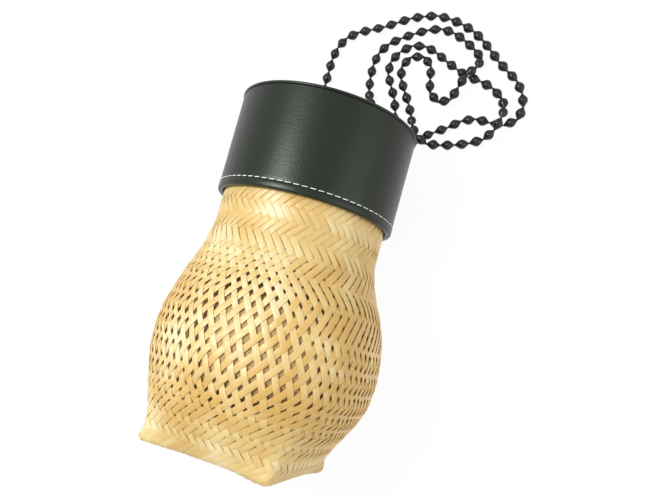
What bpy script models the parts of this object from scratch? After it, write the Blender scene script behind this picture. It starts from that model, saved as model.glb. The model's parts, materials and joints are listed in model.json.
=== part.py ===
"""The solids of the basket bag: one object for each node, in metres, with +Z up.

The bag lies on its side. Its axis runs along +Y, from the woven base to the leather lid, and leans
down to the lid, because the bag rests on its belly and on the lid's rim. The beaded strap leaves the
lid's top and lies on the floor beyond it.

Most pieces are turned about the bag's axis. They are written in the bag's own places: a station is a
distance along the axis from the base, and a radius is a distance from the axis. laid_down() then puts
them on the floor.
"""

import math

import bmesh
import bpy
from mathutils import Matrix, Vector

# Between neighbouring pieces.
CLEAR = 0.0003
CUT_OVERRUN = 0.002

# The woven basket.
BASKET_HEIGHT = 0.212
BASE_HALF = 0.0436
BELLY_HALF = 0.070
BELLY_STATION = 0.068
NECK_RADIUS = 0.055
STRAIGHT_NECK_BELOW_LID = 0.0213
WEAVE_THICKNESS = 0.0016
BASKET_SIDES = 40

# The wall's outline below the belly: share of the way up to the belly, share of the way out from the
# base's half width to the belly's, and how much of the square base is left in the section.
LOWER_WALL_SHARES = (
    (0.0, 0.0, 1.0),
    (0.05, 0.09, 0.8),
    (0.132, 0.242, 0.5),
    (0.309, 0.508, 0.15),
    (0.544, 0.79, 0.0),
    (0.794, 0.962, 0.0),
    (1.0, 1.0, 0.0),
)
# Above the belly: share of the way up to the neck, and share of the swelling that is left.
UPPER_WALL_SHARES = (
    (0.162, 0.953),
    (0.338, 0.8),
    (0.514, 0.587),
    (0.689, 0.313),
    (0.851, 0.107),
    (1.0, 0.0),
)
# The section is a circle at the neck and rounded squarish at the belly: exponents of its curve.
BELLY_EXPONENT = 2.6
NECK_EXPONENT = 2.0

# The rim of the basket's mouth, inside the lid.
RIM_STEP = 0.002
HOOP_HEIGHT = 0.008
OUTER_HOOP_THICKNESS = 0.0013
INNER_HOOP_THICKNESS = 0.0013
BINDING_THICKNESS = 0.0005
BINDING_OVERLAP = 0.001

# The cloth pouch inside the basket.
POUCH_THICKNESS = 0.0008

# The leather lid. It widens a little from its foot to its top, and slides over the neck.
LID_HEIGHT = 0.0667
LID_HEADROOM = 0.018
LID_RUNNING_GAP = 0.0011
LID_FLARE = 0.001
LEATHER = 0.0011
STIFFENER = 0.0009
FOLD_THICKNESS = 0.0009
FOLD_HEIGHT = 0.014
TOP_BOARD = 0.0012
LID_LINING = 0.0007
PIPING_RADIUS = 0.001
LID_SIDES = 60
PIPING_SIDES = 8

# The sewing thread round the lid's foot and down the band's seam. It shows as stitches, with a thin
# link from each one to the next.
STITCH_COUNT = 80
STITCH_LENGTH = 0.0034
STITCH_WIDTH = 0.0007
STITCH_THICKNESS = 0.0005
STITCH_TAPER = 0.0002
LINK_WIDTH = 0.0003
LINK_THICKNESS = 0.0003
STITCH_RISE = 0.0042
SEAM_ANGLE = math.radians(-50.0)
SEAM_STITCH_PITCH = 0.0047
SEAM_MARGIN = 0.006

# The eyelets in the lid's top.
EYELET_PLACE = 0.035
EYELET_BORE = 0.0015
EYELET_BARREL = 0.0023
EYELET_FLANGE = 0.0042
EYELET_FLANGE_THICKNESS = 0.0006
EYELET_OVERHANG = 0.0011
WASHER_RADIUS = 0.0038
WASHER_THICKNESS = 0.0006
EYELET_SIDES = 16

# The strap.
THREAD_RADIUS = 0.0005
BEAD_RADIUS = 0.0036
BEAD_LENGTH = 0.0084
BEAD_END_RADIUS = 0.00125
BEAD_WIDEST_SHARE = 0.42
BEAD_PITCH = 0.0106
FIRST_BEAD_LEAD = 0.001
KNOT_RADIUS = 0.002
TAIL_STRAIGHT = 0.003

# The strap's route over the floor, from the eyelet on the left to the one on the right.
MILLIMETRE = 0.001
ROUTE_MM = (
    (-35, 125, 58), (-35, 130.5, 48), (-35, 132, 32), (-35, 137, 16),
    (-35, 147, 6), (-35, 158, 3.8), (-36, 169, 3.8), (-35, 176, 3.8),
    (-35, 187, 3.8), (-32, 197, 3.8), (-26, 205, 3.8), (-17, 210, 3.8),
    (-7, 213, 3.8), (4, 217, 3.8), (14, 222, 3.8), (24, 226, 3.8),
    (34, 228, 3.8), (44, 229, 3.8), (55, 226, 3.8), (66, 222, 3.8),
    (75.5, 216, 3.8), (84, 208.6, 3.8), (91.5, 200.5, 3.8), (100, 192.5, 3.8),
    (109, 186, 3.8), (115, 178, 3.8), (119, 168, 3.8), (119, 158, 3.8),
    (113, 151, 3.8), (104, 149, 3.8), (93, 151, 3.8), (83, 151, 3.8),
    (75, 146.5, 3.8), (67, 140.5, 3.8), (58.5, 136, 3.8), (50, 130.8, 3.8),
    (41, 125.5, 3.8), (32.5, 128, 3.8), (28, 138, 3.8), (26.5, 149, 3.8),
    (23.5, 158, 3.8), (19, 167, 3.8), (14, 176, 3.8), (13, 187, 3.8),
    (19, 197, 3.8), (28, 203, 3.8), (39, 203, 3.8), (49, 198, 3.8),
    (58, 192, 3.8), (67, 187, 3.8), (77, 182, 3.8), (87, 180, 3.8),
    (97, 175, 3.8), (104, 168, 3.8), (107.5, 159, 9.4), (106.5, 150, 13.2),
    (103, 142, 9), (96, 136, 4.4), (86, 132, 3.8), (76, 129.3, 3.8),
    (66, 127.6, 3.8), (57.5, 126, 6.5), (50.5, 128.5, 12.2), (45.5, 134, 12.2),
    (42.5, 140.5, 8), (39, 148.5, 4.4), (34.5, 157.5, 3.8), (28.5, 168, 3.8),
    (23.5, 178, 3.8), (23, 186, 3.8), (27.5, 193, 3.8), (36, 195.5, 3.8),
    (44, 191, 3.8), (47, 182, 3.8), (47.5, 173, 3.8), (51, 164.5, 3.8),
    (58.5, 160, 4), (66.3, 162.3, 6), (70.3, 169, 10), (72.8, 176.5, 12.6),
    (76.6, 183, 12.6), (80.8, 188.6, 9.5), (82.9, 194.6, 6), (80.8, 200.2, 4),
    (75.3, 204.6, 3.8), (68.9, 209.2, 3.8), (61.5, 214, 3.8), (53, 217.5, 3.8),
    (44, 218.6, 3.8),
    (33, 215.4, 3.8), (22.5, 210.6, 3.8), (12.6, 205.2, 3.8), (4.4, 198.3, 3.8),
    (0.5, 188.5, 3.8), (0, 177, 3.8), (1, 166, 3.8), (4, 156, 5.5),
    (10, 147.5, 13), (17, 141, 25), (24, 135.5, 38), (30, 130, 50),
    (34, 123, 58.5),
)
CURVE_STEPS = 24

BAMBOO = (0.72, 0.52, 0.25, 1.0)
BAMBOO_DARK = (0.55, 0.36, 0.16, 1.0)
CLOTH = (0.45, 0.38, 0.28, 1.0)
BLACK_LEATHER = (0.045, 0.05, 0.045, 1.0)
CARD = (0.35, 0.28, 0.2, 1.0)
LINING_CLOTH = (0.12, 0.11, 0.1, 1.0)
WHITE_THREAD = (0.88, 0.88, 0.84, 1.0)
BLACK_METAL = (0.05, 0.05, 0.05, 1.0)
BLACK_BEAD = (0.02, 0.02, 0.018, 1.0)


def clear_scene():
    for old in list(bpy.data.objects):
        bpy.data.objects.remove(old, do_unlink=True)


def material(name, colour, roughness, metallic=0.0):
    found = bpy.data.materials.new(name)
    found.use_nodes = True
    shader = found.node_tree.nodes["Principled BSDF"]
    shader.inputs["Base Color"].default_value = colour
    shader.inputs["Roughness"].default_value = roughness
    shader.inputs["Metallic"].default_value = metallic
    return found


def solid(name, points, faces, look):
    """A closed mesh object with its faces turned outward."""
    mesh = bpy.data.meshes.new(name)
    mesh.from_pydata([tuple(p) for p in points], [], faces)
    shape = bmesh.new()
    shape.from_mesh(mesh)
    bmesh.ops.recalc_face_normals(shape, faces=shape.faces)
    shape.to_mesh(mesh)
    shape.free()
    made = bpy.data.objects.new(name, mesh)
    bpy.context.scene.collection.objects.link(made)
    mesh.materials.append(look)
    return made


def interpolated(rows, station):
    """The row at a station of a table of rows that start with their station."""
    if station <= rows[0][0]:
        return rows[0]
    for low, high in zip(rows, rows[1:]):
        if station <= high[0]:
            share = (station - low[0]) / (high[0] - low[0])
            return tuple(a + (b - a) * share for a, b in zip(low, high))
    return rows[-1]


def wall_rows():
    """The basket's outer wall as rows of station, half width, exponent and squareness."""
    rows = []
    for up, out, square in LOWER_WALL_SHARES:
        half = BASE_HALF + (BELLY_HALF - BASE_HALF) * out
        rows.append((BELLY_STATION * up, half, BELLY_EXPONENT, square))
    for up, swelling in UPPER_WALL_SHARES:
        station = BELLY_STATION + (NECK_STATION - BELLY_STATION) * up
        half = NECK_RADIUS + (BELLY_HALF - NECK_RADIUS) * swelling
        exponent = NECK_EXPONENT + (BELLY_EXPONENT - NECK_EXPONENT) * swelling
        rows.append((station, half, exponent, 0.0))
    rows.append((LID_FOOT, NECK_RADIUS, NECK_EXPONENT, 0.0))
    rows.append((RIM_FOOT, NECK_RADIUS - RIM_STEP, NECK_EXPONENT, 0.0))
    rows.append((BASKET_HEIGHT, NECK_RADIUS - RIM_STEP, NECK_EXPONENT, 0.0))
    return rows


def reach(row, angle):
    """How far a section reaches from the axis in one direction."""
    _, half, exponent, square = row
    across = abs(math.cos(angle))
    along = abs(math.sin(angle))
    rounded = (across**exponent + along**exponent) ** (-1 / exponent)
    pointed = 1 / max(across, along)
    return half * (rounded + (pointed - rounded) * square)


def round_row(station, radius):
    return (station, radius, NECK_EXPONENT, 0.0)


def ring(row, sides):
    turn = math.tau / sides
    return [
        Vector((reach(row, k * turn) * math.cos(k * turn), row[0], reach(row, k * turn) * math.sin(k * turn)))
        for k in range(sides)
    ]


def turned(name, rows, sides, look, capped=False):
    """Rings joined in order. The outline closes on itself, or its two ends are closed flat.

    Each flat is split from its lower left to its upper right corner, so that nested walls keep
    their gap where the section changes from one ring to the next.
    """
    points = []
    faces = []
    for row in rows:
        points.extend(ring(row, sides))
    joins = len(rows) - 1 if capped else len(rows)
    for j in range(joins):
        following = (j + 1) % len(rows)
        low, high = sorted((j, following), key=lambda index: rows[index][0])
        for k in range(sides):
            after = (k + 1) % sides
            faces.append((low * sides + k, low * sides + after, high * sides + after))
            faces.append((low * sides + k, high * sides + after, high * sides + k))
    if capped:
        for first in (0, (len(rows) - 1) * sides):
            middle = len(points)
            points.append(Vector((0.0, points[first].y, 0.0)))
            for k in range(sides):
                faces.append((first + k, first + (k + 1) % sides, middle))
    return solid(name, points, faces, look)


def inset(row, depth):
    station, half, exponent, square = row
    return (station, half - depth, exponent, square)


def vessel(name, outer_depth, thickness, floor, mouth, look):
    """A cup with an open mouth that follows the basket's wall at a depth inside it."""
    rows = [row for row in wall_rows() if floor < row[0] < mouth]
    outer = [interpolated(wall_rows(), floor), *rows, interpolated(wall_rows(), mouth)]
    inner_floor = floor + thickness
    inside = [row for row in rows if row[0] > inner_floor]
    inner = [interpolated(wall_rows(), inner_floor), *inside, interpolated(wall_rows(), mouth)]
    outline = [inset(row, outer_depth) for row in outer]
    outline += [inset(row, outer_depth + thickness) for row in reversed(inner)]
    return turned(name, outline, BASKET_SIDES, look, capped=True)


def band_ring(name, low, high, inner_low, inner_high, outer_low, outer_high, sides, look):
    """A plain ring with a conical inside and outside."""
    rows = [
        round_row(low, outer_low),
        round_row(high, outer_high),
        round_row(high, inner_high),
        round_row(low, inner_low),
    ]
    return turned(name, rows, sides, look)


def lid_radius(station):
    share = (station - LID_FOOT) / (LID_TOP - LID_FOOT)
    return LID_FOOT_RADIUS + (LID_TOP_RADIUS - LID_FOOT_RADIUS) * share


def disc(name, low, high, radius, look):
    return turned(name, [round_row(low, radius), round_row(high, radius)], LID_SIDES, look, capped=True)


def loop_faces(ring_count, sides):
    """The faces of a ring-shaped solid whose rings follow one another and close."""
    faces = []
    for j in range(ring_count):
        here = j * sides
        there = ((j + 1) % ring_count) * sides
        for k in range(sides):
            after = (k + 1) % sides
            faces.append((here + k, here + after, there + after, there + k))
    return faces


# Stations and radii that follow from the sizes above.
LID_TOP = BASKET_HEIGHT + LID_HEADROOM
LID_FOOT = LID_TOP - LID_HEIGHT
NECK_STATION = LID_FOOT - STRAIGHT_NECK_BELOW_LID
STIFFENER_DEPTH = LEATHER + CLEAR
FOLD_DEPTH = STIFFENER_DEPTH + STIFFENER + CLEAR
LID_FOOT_RADIUS = NECK_RADIUS + LID_RUNNING_GAP + FOLD_THICKNESS + FOLD_DEPTH
LID_TOP_RADIUS = LID_FOOT_RADIUS + LID_FLARE
RIM_FOOT = BASKET_HEIGHT - HOOP_HEIGHT
RIM_OUTER = NECK_RADIUS - RIM_STEP
RIM_INNER = RIM_OUTER - WEAVE_THICKNESS
POUCH_DEPTH = WEAVE_THICKNESS + CLEAR
POUCH_FLOOR = WEAVE_THICKNESS + CLEAR
POUCH_MOUTH = RIM_FOOT - BINDING_OVERLAP - CLEAR
OUTER_HOOP_OUTER = RIM_OUTER + CLEAR + OUTER_HOOP_THICKNESS
INNER_HOOP_INNER = RIM_INNER - CLEAR - INNER_HOOP_THICKNESS
TOP_LOW = LID_TOP - LEATHER
BOARD_HIGH = TOP_LOW - CLEAR
BOARD_LOW = BOARD_HIGH - TOP_BOARD
LINING_HIGH = BOARD_LOW - CLEAR
LINING_LOW = LINING_HIGH - LID_LINING
PIPING_STATION = LID_TOP - PIPING_RADIUS * math.sqrt(0.5)
PIPING_CENTRE = LID_TOP_RADIUS - PIPING_RADIUS * (1 - math.sqrt(0.5))
BAND_HIGH = PIPING_STATION - PIPING_RADIUS - CLEAR
DISC_RADIUS = PIPING_CENTRE - PIPING_RADIUS - CLEAR
STIFFENER_LOW = LID_FOOT + LEATHER + CLEAR
FOLD_HIGH = LID_FOOT + FOLD_HEIGHT
LINING_FOOT = FOLD_HIGH + CLEAR
EYELET_HOLE = EYELET_BARREL + CLEAR
EYELET_SEAT = LID_TOP + CLEAR
EYELET_TOP = EYELET_SEAT + EYELET_FLANGE_THICKNESS
EYELET_FOOT = LINING_LOW - EYELET_OVERHANG
WASHER_HIGH = LINING_LOW - CLEAR
WASHER_LOW = WASHER_HIGH - WASHER_THICKNESS
THREAD_START = EYELET_FOOT
STRAP_START = EYELET_TOP + FIRST_BEAD_LEAD
KNOT_PLACE = INNER_HOOP_INNER - CLEAR - BINDING_THICKNESS - CLEAR - KNOT_RADIUS
KNOT_STATION = (RIM_FOOT + BASKET_HEIGHT) / 2


def build_basket():
    weave = material("bamboo strips", BAMBOO, 0.5)
    hoop = material("split bamboo hoop", BAMBOO_DARK, 0.5)
    cloth = material("pouch cloth", CLOTH, 0.9)
    shell = vessel("basket_shell", 0.0, WEAVE_THICKNESS, 0.0, BASKET_HEIGHT, weave)
    pouch = vessel("cloth_pouch", POUCH_DEPTH, POUCH_THICKNESS, POUCH_FLOOR, POUCH_MOUTH, cloth)
    outer_low = RIM_OUTER + CLEAR
    outer = band_ring(
        "rim_hoop_outer",
        RIM_FOOT,
        BASKET_HEIGHT,
        outer_low,
        outer_low,
        OUTER_HOOP_OUTER,
        OUTER_HOOP_OUTER,
        BASKET_SIDES,
        hoop,
    )
    inner_high = RIM_INNER - CLEAR
    inner = band_ring(
        "rim_hoop_inner",
        RIM_FOOT,
        BASKET_HEIGHT,
        INNER_HOOP_INNER,
        INNER_HOOP_INNER,
        inner_high,
        inner_high,
        BASKET_SIDES,
        hoop,
    )
    return [shell, pouch, outer, inner, build_binding(cloth)]


def build_binding(cloth):
    """A tape folded over the mouth and its two hoops."""
    out_near = OUTER_HOOP_OUTER + CLEAR
    out_far = out_near + BINDING_THICKNESS
    in_near = INNER_HOOP_INNER - CLEAR
    in_far = in_near - BINDING_THICKNESS
    top_near = BASKET_HEIGHT + CLEAR
    top_far = top_near + BINDING_THICKNESS
    foot = RIM_FOOT - BINDING_OVERLAP
    rows = [
        round_row(foot, out_near),
        round_row(foot, out_far),
        round_row(top_far, out_far),
        round_row(top_far, in_far),
        round_row(foot, in_far),
        round_row(foot, in_near),
        round_row(top_near, in_near),
        round_row(top_near, out_near),
    ]
    return turned("rim_binding", rows, BASKET_SIDES, cloth)


def build_lid():
    leather = material("black leather", BLACK_LEATHER, 0.45)
    card = material("stiff card", CARD, 0.9)
    cloth = material("lid lining cloth", LINING_CLOTH, 0.9)
    return [
        build_band(leather),
        with_eyelet_holes(disc("lid_top", TOP_LOW, LID_TOP, DISC_RADIUS, leather)),
        with_eyelet_holes(disc("lid_top_board", BOARD_LOW, BOARD_HIGH, DISC_RADIUS, card)),
        build_stiffener(card),
        with_eyelet_holes(build_lid_lining(cloth)),
        build_piping(leather),
        *build_sewing(),
        *build_eyelets(),
    ]


def build_band(leather):
    """The leather wall, whose foot is turned in and up inside the stiffener."""
    bend = LEATHER / 2
    fold_out = FOLD_DEPTH
    fold_in = FOLD_DEPTH + FOLD_THICKNESS
    rows = [
        round_row(BAND_HIGH, lid_radius(BAND_HIGH)),
        round_row(LID_FOOT + bend, lid_radius(LID_FOOT)),
        round_row(LID_FOOT, lid_radius(LID_FOOT) - bend),
        round_row(LID_FOOT, lid_radius(LID_FOOT) - fold_in + bend),
        round_row(LID_FOOT + bend, lid_radius(LID_FOOT) - fold_in),
        round_row(FOLD_HIGH, lid_radius(FOLD_HIGH) - fold_in),
        round_row(FOLD_HIGH, lid_radius(FOLD_HIGH) - fold_out),
        round_row(LID_FOOT + LEATHER, lid_radius(LID_FOOT) - fold_out),
        round_row(LID_FOOT + LEATHER, lid_radius(LID_FOOT) - LEATHER),
        round_row(BAND_HIGH, lid_radius(BAND_HIGH) - LEATHER),
    ]
    return turned("lid_band", rows, LID_SIDES, leather)


def build_stiffener(card):
    inner = STIFFENER_DEPTH + STIFFENER
    return band_ring(
        "lid_stiffener",
        STIFFENER_LOW,
        LINING_HIGH,
        lid_radius(STIFFENER_LOW) - inner,
        lid_radius(LINING_HIGH) - inner,
        lid_radius(STIFFENER_LOW) - STIFFENER_DEPTH,
        lid_radius(LINING_HIGH) - STIFFENER_DEPTH,
        LID_SIDES,
        card,
    )


def build_lid_lining(cloth):
    """A cup of cloth, mouth down, inside the stiffener and under the board."""
    outer = FOLD_DEPTH
    inner = FOLD_DEPTH + LID_LINING
    rows = [
        round_row(LINING_HIGH, lid_radius(LINING_HIGH) - outer),
        round_row(LINING_FOOT, lid_radius(LINING_FOOT) - outer),
        round_row(LINING_FOOT, lid_radius(LINING_FOOT) - inner),
        round_row(LINING_LOW, lid_radius(LINING_LOW) - inner),
    ]
    return turned("lid_lining", rows, LID_SIDES, cloth, capped=True)


def build_piping(leather):
    rows = []
    for k in range(PIPING_SIDES):
        angle = math.tau * k / PIPING_SIDES
        station = PIPING_STATION + PIPING_RADIUS * math.sin(angle)
        rows.append(round_row(station, PIPING_CENTRE + PIPING_RADIUS * math.cos(angle)))
    return turned("lid_piping", rows, LID_SIDES, leather)


def section(centre, across, out, width, thickness):
    """The four corners of the sewing thread where it lies on the leather at a point."""
    lifted = centre + out * CLEAR
    return [
        lifted - across * width / 2,
        lifted + across * width / 2,
        lifted + across * width / 2 + out * thickness,
        lifted - across * width / 2 + out * thickness,
    ]


def stitch_places(count, pitch):
    """Where each stitch starts and ends, and the ends of the thin link after it."""
    places = []
    for k in range(count):
        start = k * pitch
        places.append((start, STITCH_WIDTH, STITCH_THICKNESS))
        places.append((start + STITCH_LENGTH, STITCH_WIDTH, STITCH_THICKNESS))
        places.append((start + STITCH_LENGTH + STITCH_TAPER, LINK_WIDTH, LINK_THICKNESS))
        places.append((start + pitch - STITCH_TAPER, LINK_WIDTH, LINK_THICKNESS))
    return places


def build_sewing():
    white = material("white top-stitching", WHITE_THREAD, 0.7)
    black = material("black seam thread", BLACK_METAL, 0.8)
    axis = Vector((0.0, 1.0, 0.0))
    station = LID_FOOT + STITCH_RISE
    radius = lid_radius(station)
    hem = []
    hem_places = stitch_places(STITCH_COUNT, math.tau * radius / STITCH_COUNT)
    for place, width, thickness in hem_places:
        out = direction(place / radius)
        hem.extend(section(out * radius + axis * station, axis, out, width, thickness))
    hem_thread = solid("hem_stitching", hem, loop_faces(len(hem_places), 4), white)

    out = direction(SEAM_ANGLE)
    across = direction(SEAM_ANGLE + math.pi / 2)
    low = station + SEAM_MARGIN
    count = int((BAND_HIGH - SEAM_MARGIN - low) / SEAM_STITCH_PITCH)
    seam = []
    seam_places = stitch_places(count, SEAM_STITCH_PITCH)[:-2]
    for place, width, thickness in seam_places:
        centre = out * lid_radius(low + place) + axis * (low + place)
        seam.extend(section(centre, across, out, width, thickness))
    faces = loop_faces(len(seam_places), 4)[:-4]
    faces += [(0, 1, 2, 3), tuple(len(seam) - 4 + corner for corner in range(4))]
    return [hem_thread, solid("seam_stitching", seam, faces, black)]


def direction(angle):
    return Vector((math.cos(angle), 0.0, math.sin(angle)))


def eyelet_places():
    return {"left": Vector((-EYELET_PLACE, 0.0, 0.0)), "right": Vector((EYELET_PLACE, 0.0, 0.0))}


def build_eyelets():
    """Each eyelet has its flange on the leather, and a washer under the lining."""
    metal = material("black eyelet", BLACK_METAL, 0.35, 1.0)
    rows = [
        round_row(EYELET_FOOT, EYELET_BORE),
        round_row(EYELET_FOOT, EYELET_BARREL),
        round_row(EYELET_SEAT, EYELET_BARREL),
        round_row(EYELET_SEAT, EYELET_FLANGE),
        round_row(EYELET_TOP, EYELET_FLANGE),
        round_row(EYELET_TOP, EYELET_BORE),
    ]
    washer_rows = [
        round_row(WASHER_LOW, EYELET_HOLE),
        round_row(WASHER_LOW, WASHER_RADIUS),
        round_row(WASHER_HIGH, WASHER_RADIUS),
        round_row(WASHER_HIGH, EYELET_HOLE),
    ]
    made = []
    for side, place in eyelet_places().items():
        shift = Matrix.Translation(place)
        for name, outline in ((f"eyelet_{side}", rows), (f"eyelet_washer_{side}", washer_rows)):
            shape = turned(name, outline, EYELET_SIDES, metal)
            shape.data.transform(shift)
            made.append(shape)
    return made


def with_eyelet_holes(plate):
    """The plate with a hole for each eyelet's barrel, cut by hidden cylinders."""
    for side, place in eyelet_places().items():
        low = LINING_LOW - CUT_OVERRUN
        high = LID_TOP + CUT_OVERRUN
        rows = [round_row(low, EYELET_HOLE), round_row(high, EYELET_HOLE)]
        name = f"cut_{plate.name}_{side}"
        cutter = turned(name, rows, EYELET_SIDES, plate.data.materials[0], capped=True)
        cutter.data.transform(Matrix.Translation(place))
        cutter.hide_render = True
        cutter.display_type = "WIRE"
        cut = plate.modifiers.new(name, "BOOLEAN")
        cut.operation = "DIFFERENCE"
        cut.solver = "EXACT"
        cut.object = cutter
    return plate


def lean_angle():
    """How far the axis leans, so that the belly and the lid's rim both rest on the floor."""
    rim = PIPING_CENTRE + PIPING_RADIUS
    leans = []
    for row in wall_rows():
        leans.append(math.atan2(reach(row, -math.pi / 2) - rim, PIPING_STATION - row[0]))
    return max(leans[: len(LOWER_WALL_SHARES) + len(UPPER_WALL_SHARES)])


def laid_down():
    """Lays every piece built so far on the floor, over the origin, and returns how it was moved."""
    lean = Matrix.Rotation(-lean_angle(), 4, "X")
    for shape in bpy.data.objects:
        shape.data.transform(lean)
    shown = [shape for shape in bpy.data.objects if not shape.hide_render]
    points = [vertex.co for shape in shown for vertex in shape.data.vertices]
    low = Vector([min(point[axis] for point in points) for axis in range(3)])
    high = Vector([max(point[axis] for point in points) for axis in range(3)])
    middle = (low + high) / 2
    shift = Matrix.Translation((-middle.x, -middle.y, -low.z))
    for shape in bpy.data.objects:
        shape.data.transform(shift)
    return shift @ lean


def smooth_curve(points):
    """Points close together on a smooth curve through the points given."""
    padded = [2 * points[0] - points[1], *points, 2 * points[-1] - points[-2]]
    found = []
    for before, here, after, beyond in zip(padded, padded[1:], padded[2:], padded[3:]):
        for step in range(CURVE_STEPS):
            t = step / CURVE_STEPS
            straight = 2 * here + (after - before) * t
            bend = (2 * before - 5 * here + 4 * after - beyond) * t * t
            twist = (3 * here - before - 3 * after + beyond) * t * t * t
            found.append((straight + bend + twist) / 2)
    return [*found, points[-1]]


def evenly(points, pitch):
    """Points on the same line, about a pitch apart, from its start to its end."""
    reached = [0.0]
    for a, b in zip(points, points[1:]):
        reached.append(reached[-1] + (b - a).length)
    count = round(reached[-1] / pitch)
    found = []
    index = 0
    for k in range(count):
        target = reached[-1] * k / count
        while reached[index + 1] < target:
            index += 1
        share = (target - reached[index]) / (reached[index + 1] - reached[index])
        found.append(points[index].lerp(points[index + 1], share))
    return [*found, points[-1]]


def tube(name, points, radius, look, shares=None):
    """A cord through the points. shares are how many times the radius it has at each point."""
    curve = bpy.data.curves.new(name, "CURVE")
    curve.dimensions = "3D"
    curve.bevel_depth = radius
    curve.bevel_resolution = 2
    curve.use_fill_caps = True
    spline = curve.splines.new("POLY")
    spline.points.add(len(points) - 1)
    for slot, point in zip(spline.points, points):
        slot.co = (*point, 1.0)
    if shares:
        for slot, share in zip(spline.points, shares):
            slot.radius = share
    curve.materials.append(look)
    made = bpy.data.objects.new(name, curve)
    bpy.context.scene.collection.objects.link(made)
    return made


def build_strap(place):
    """The beads and their thread as one body. The thread bends only between two beads."""
    glossy = material("black lacquered beads", BLACK_BEAD, 0.25)
    sides = list(eyelet_places().values())
    starts = [place @ (side + Vector((0.0, STRAP_START, 0.0))) for side in sides]
    insides = [place @ (side + Vector((0.0, THREAD_START, 0.0))) for side in sides]
    route = [starts[0], *[Vector(point) * MILLIMETRE for point in ROUTE_MM], starts[1]]
    joints = evenly(smooth_curve(route), BEAD_PITCH)
    points = [insides[0], joints[0]]
    shares = [1.0, 1.0]
    end_share = BEAD_END_RADIUS / THREAD_RADIUS
    for start, end in zip(joints, joints[1:]):
        along = (end - start).normalized()
        first = (start + end) / 2 - along * BEAD_LENGTH / 2
        points += [first, first + along * BEAD_LENGTH * BEAD_WIDEST_SHARE, first + along * BEAD_LENGTH, end]
        shares += [end_share, BEAD_RADIUS / THREAD_RADIUS, end_share, 1.0]
    points.append(insides[1])
    shares.append(1.0)
    strap = tube("bead_strap", points, THREAD_RADIUS, glossy, shares)
    strap.data.bevel_resolution = 1
    print(f"bead_strap has {len(joints) - 1} beads")
    return strap


def build_tails(place):
    """Inside the bag the strap's two ends are knotted to the basket's rim."""
    cord = material("black inner cord", BLACK_METAL, 0.8)
    made = []
    for side, eyelet in eyelet_places().items():
        knot = eyelet.normalized() * KNOT_PLACE + Vector((0.0, KNOT_STATION, 0.0))
        end = eyelet + Vector((0.0, THREAD_START - CLEAR, 0.0))
        bend = end - Vector((0.0, TAIL_STRAIGHT, 0.0))
        start = knot + (bend - knot).normalized() * (KNOT_RADIUS + CLEAR)
        points = [place @ point for point in (start, bend, end)]
        made.append(tube(f"strap_tail_{side}", points, THREAD_RADIUS, cord))
        made.append(ball(f"rim_knot_{side}", place @ knot, KNOT_RADIUS, cord))
    return made


def ball(name, centre, radius, look):
    """A knot drawn tight."""
    shape = bmesh.new()
    bmesh.ops.create_icosphere(shape, subdivisions=2, radius=radius)
    points = [vertex.co + centre for vertex in shape.verts]
    faces = [tuple(vertex.index for vertex in face.verts) for face in shape.faces]
    shape.free()
    return solid(name, points, faces, look)


def main():
    clear_scene()
    build_basket()
    build_lid()
    place = laid_down()
    build_strap(place)
    build_tails(place)


main()
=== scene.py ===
import json
import math
import random

import bpy
import numpy as np
from mathutils import Matrix, Vector


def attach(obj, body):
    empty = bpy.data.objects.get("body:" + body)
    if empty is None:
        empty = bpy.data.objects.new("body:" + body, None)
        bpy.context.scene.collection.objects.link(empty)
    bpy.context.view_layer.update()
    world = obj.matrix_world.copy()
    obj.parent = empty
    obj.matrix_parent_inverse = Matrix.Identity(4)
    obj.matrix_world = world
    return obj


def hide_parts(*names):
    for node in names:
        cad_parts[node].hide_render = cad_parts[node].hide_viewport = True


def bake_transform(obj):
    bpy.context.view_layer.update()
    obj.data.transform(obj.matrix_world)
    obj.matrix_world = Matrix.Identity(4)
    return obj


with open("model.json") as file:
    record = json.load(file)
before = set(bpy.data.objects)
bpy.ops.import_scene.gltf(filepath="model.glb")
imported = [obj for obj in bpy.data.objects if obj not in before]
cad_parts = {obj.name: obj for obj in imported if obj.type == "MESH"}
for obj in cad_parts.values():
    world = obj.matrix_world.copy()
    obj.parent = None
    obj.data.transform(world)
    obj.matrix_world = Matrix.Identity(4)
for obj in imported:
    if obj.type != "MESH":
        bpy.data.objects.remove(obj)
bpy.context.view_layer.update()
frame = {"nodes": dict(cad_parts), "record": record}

bl_info = {
    "name": "Basket Bag",
    "version": (1, 0, 0),
    "blender": (4, 5, 0),
    "location": "View3D > Sidebar > Basket Bag",
    "description": "Dresses a woven bamboo basket bag with a leather lid and a beaded strap",
    "category": "Object",
}

MM = 0.001

# The bag lies on its side. A place on it is written as a station, which is the distance along its axis
# from the base, and a distance out from the axis. BAG_PLACE lays such a place on the floor.
MOUNTS = {mount["name"]: mount for mount in frame["record"]["mounts"]}
BASE_POINT = Vector(MOUNTS["base"]["pos_m"])
LID_TOP_POINT = Vector(MOUNTS["lid_top"]["pos_m"])
AXIS = (LID_TOP_POINT - BASE_POINT).normalized()
LEAN = math.atan2(AXIS.z, AXIS.y)
BAG_PLACE = Matrix.Translation(BASE_POINT) @ Matrix.Rotation(LEAN, 4, "X")


def bag_box(node):
    """Lowest and highest corner of a CAD node in the bag's own places."""
    back = BAG_PLACE.inverted()
    points = [back @ vertex.co for vertex in frame["nodes"][node].data.vertices]
    low = Vector([min(point[axis] for point in points) for axis in range(3)])
    high = Vector([max(point[axis] for point in points) for axis in range(3)])
    return low, high


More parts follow.
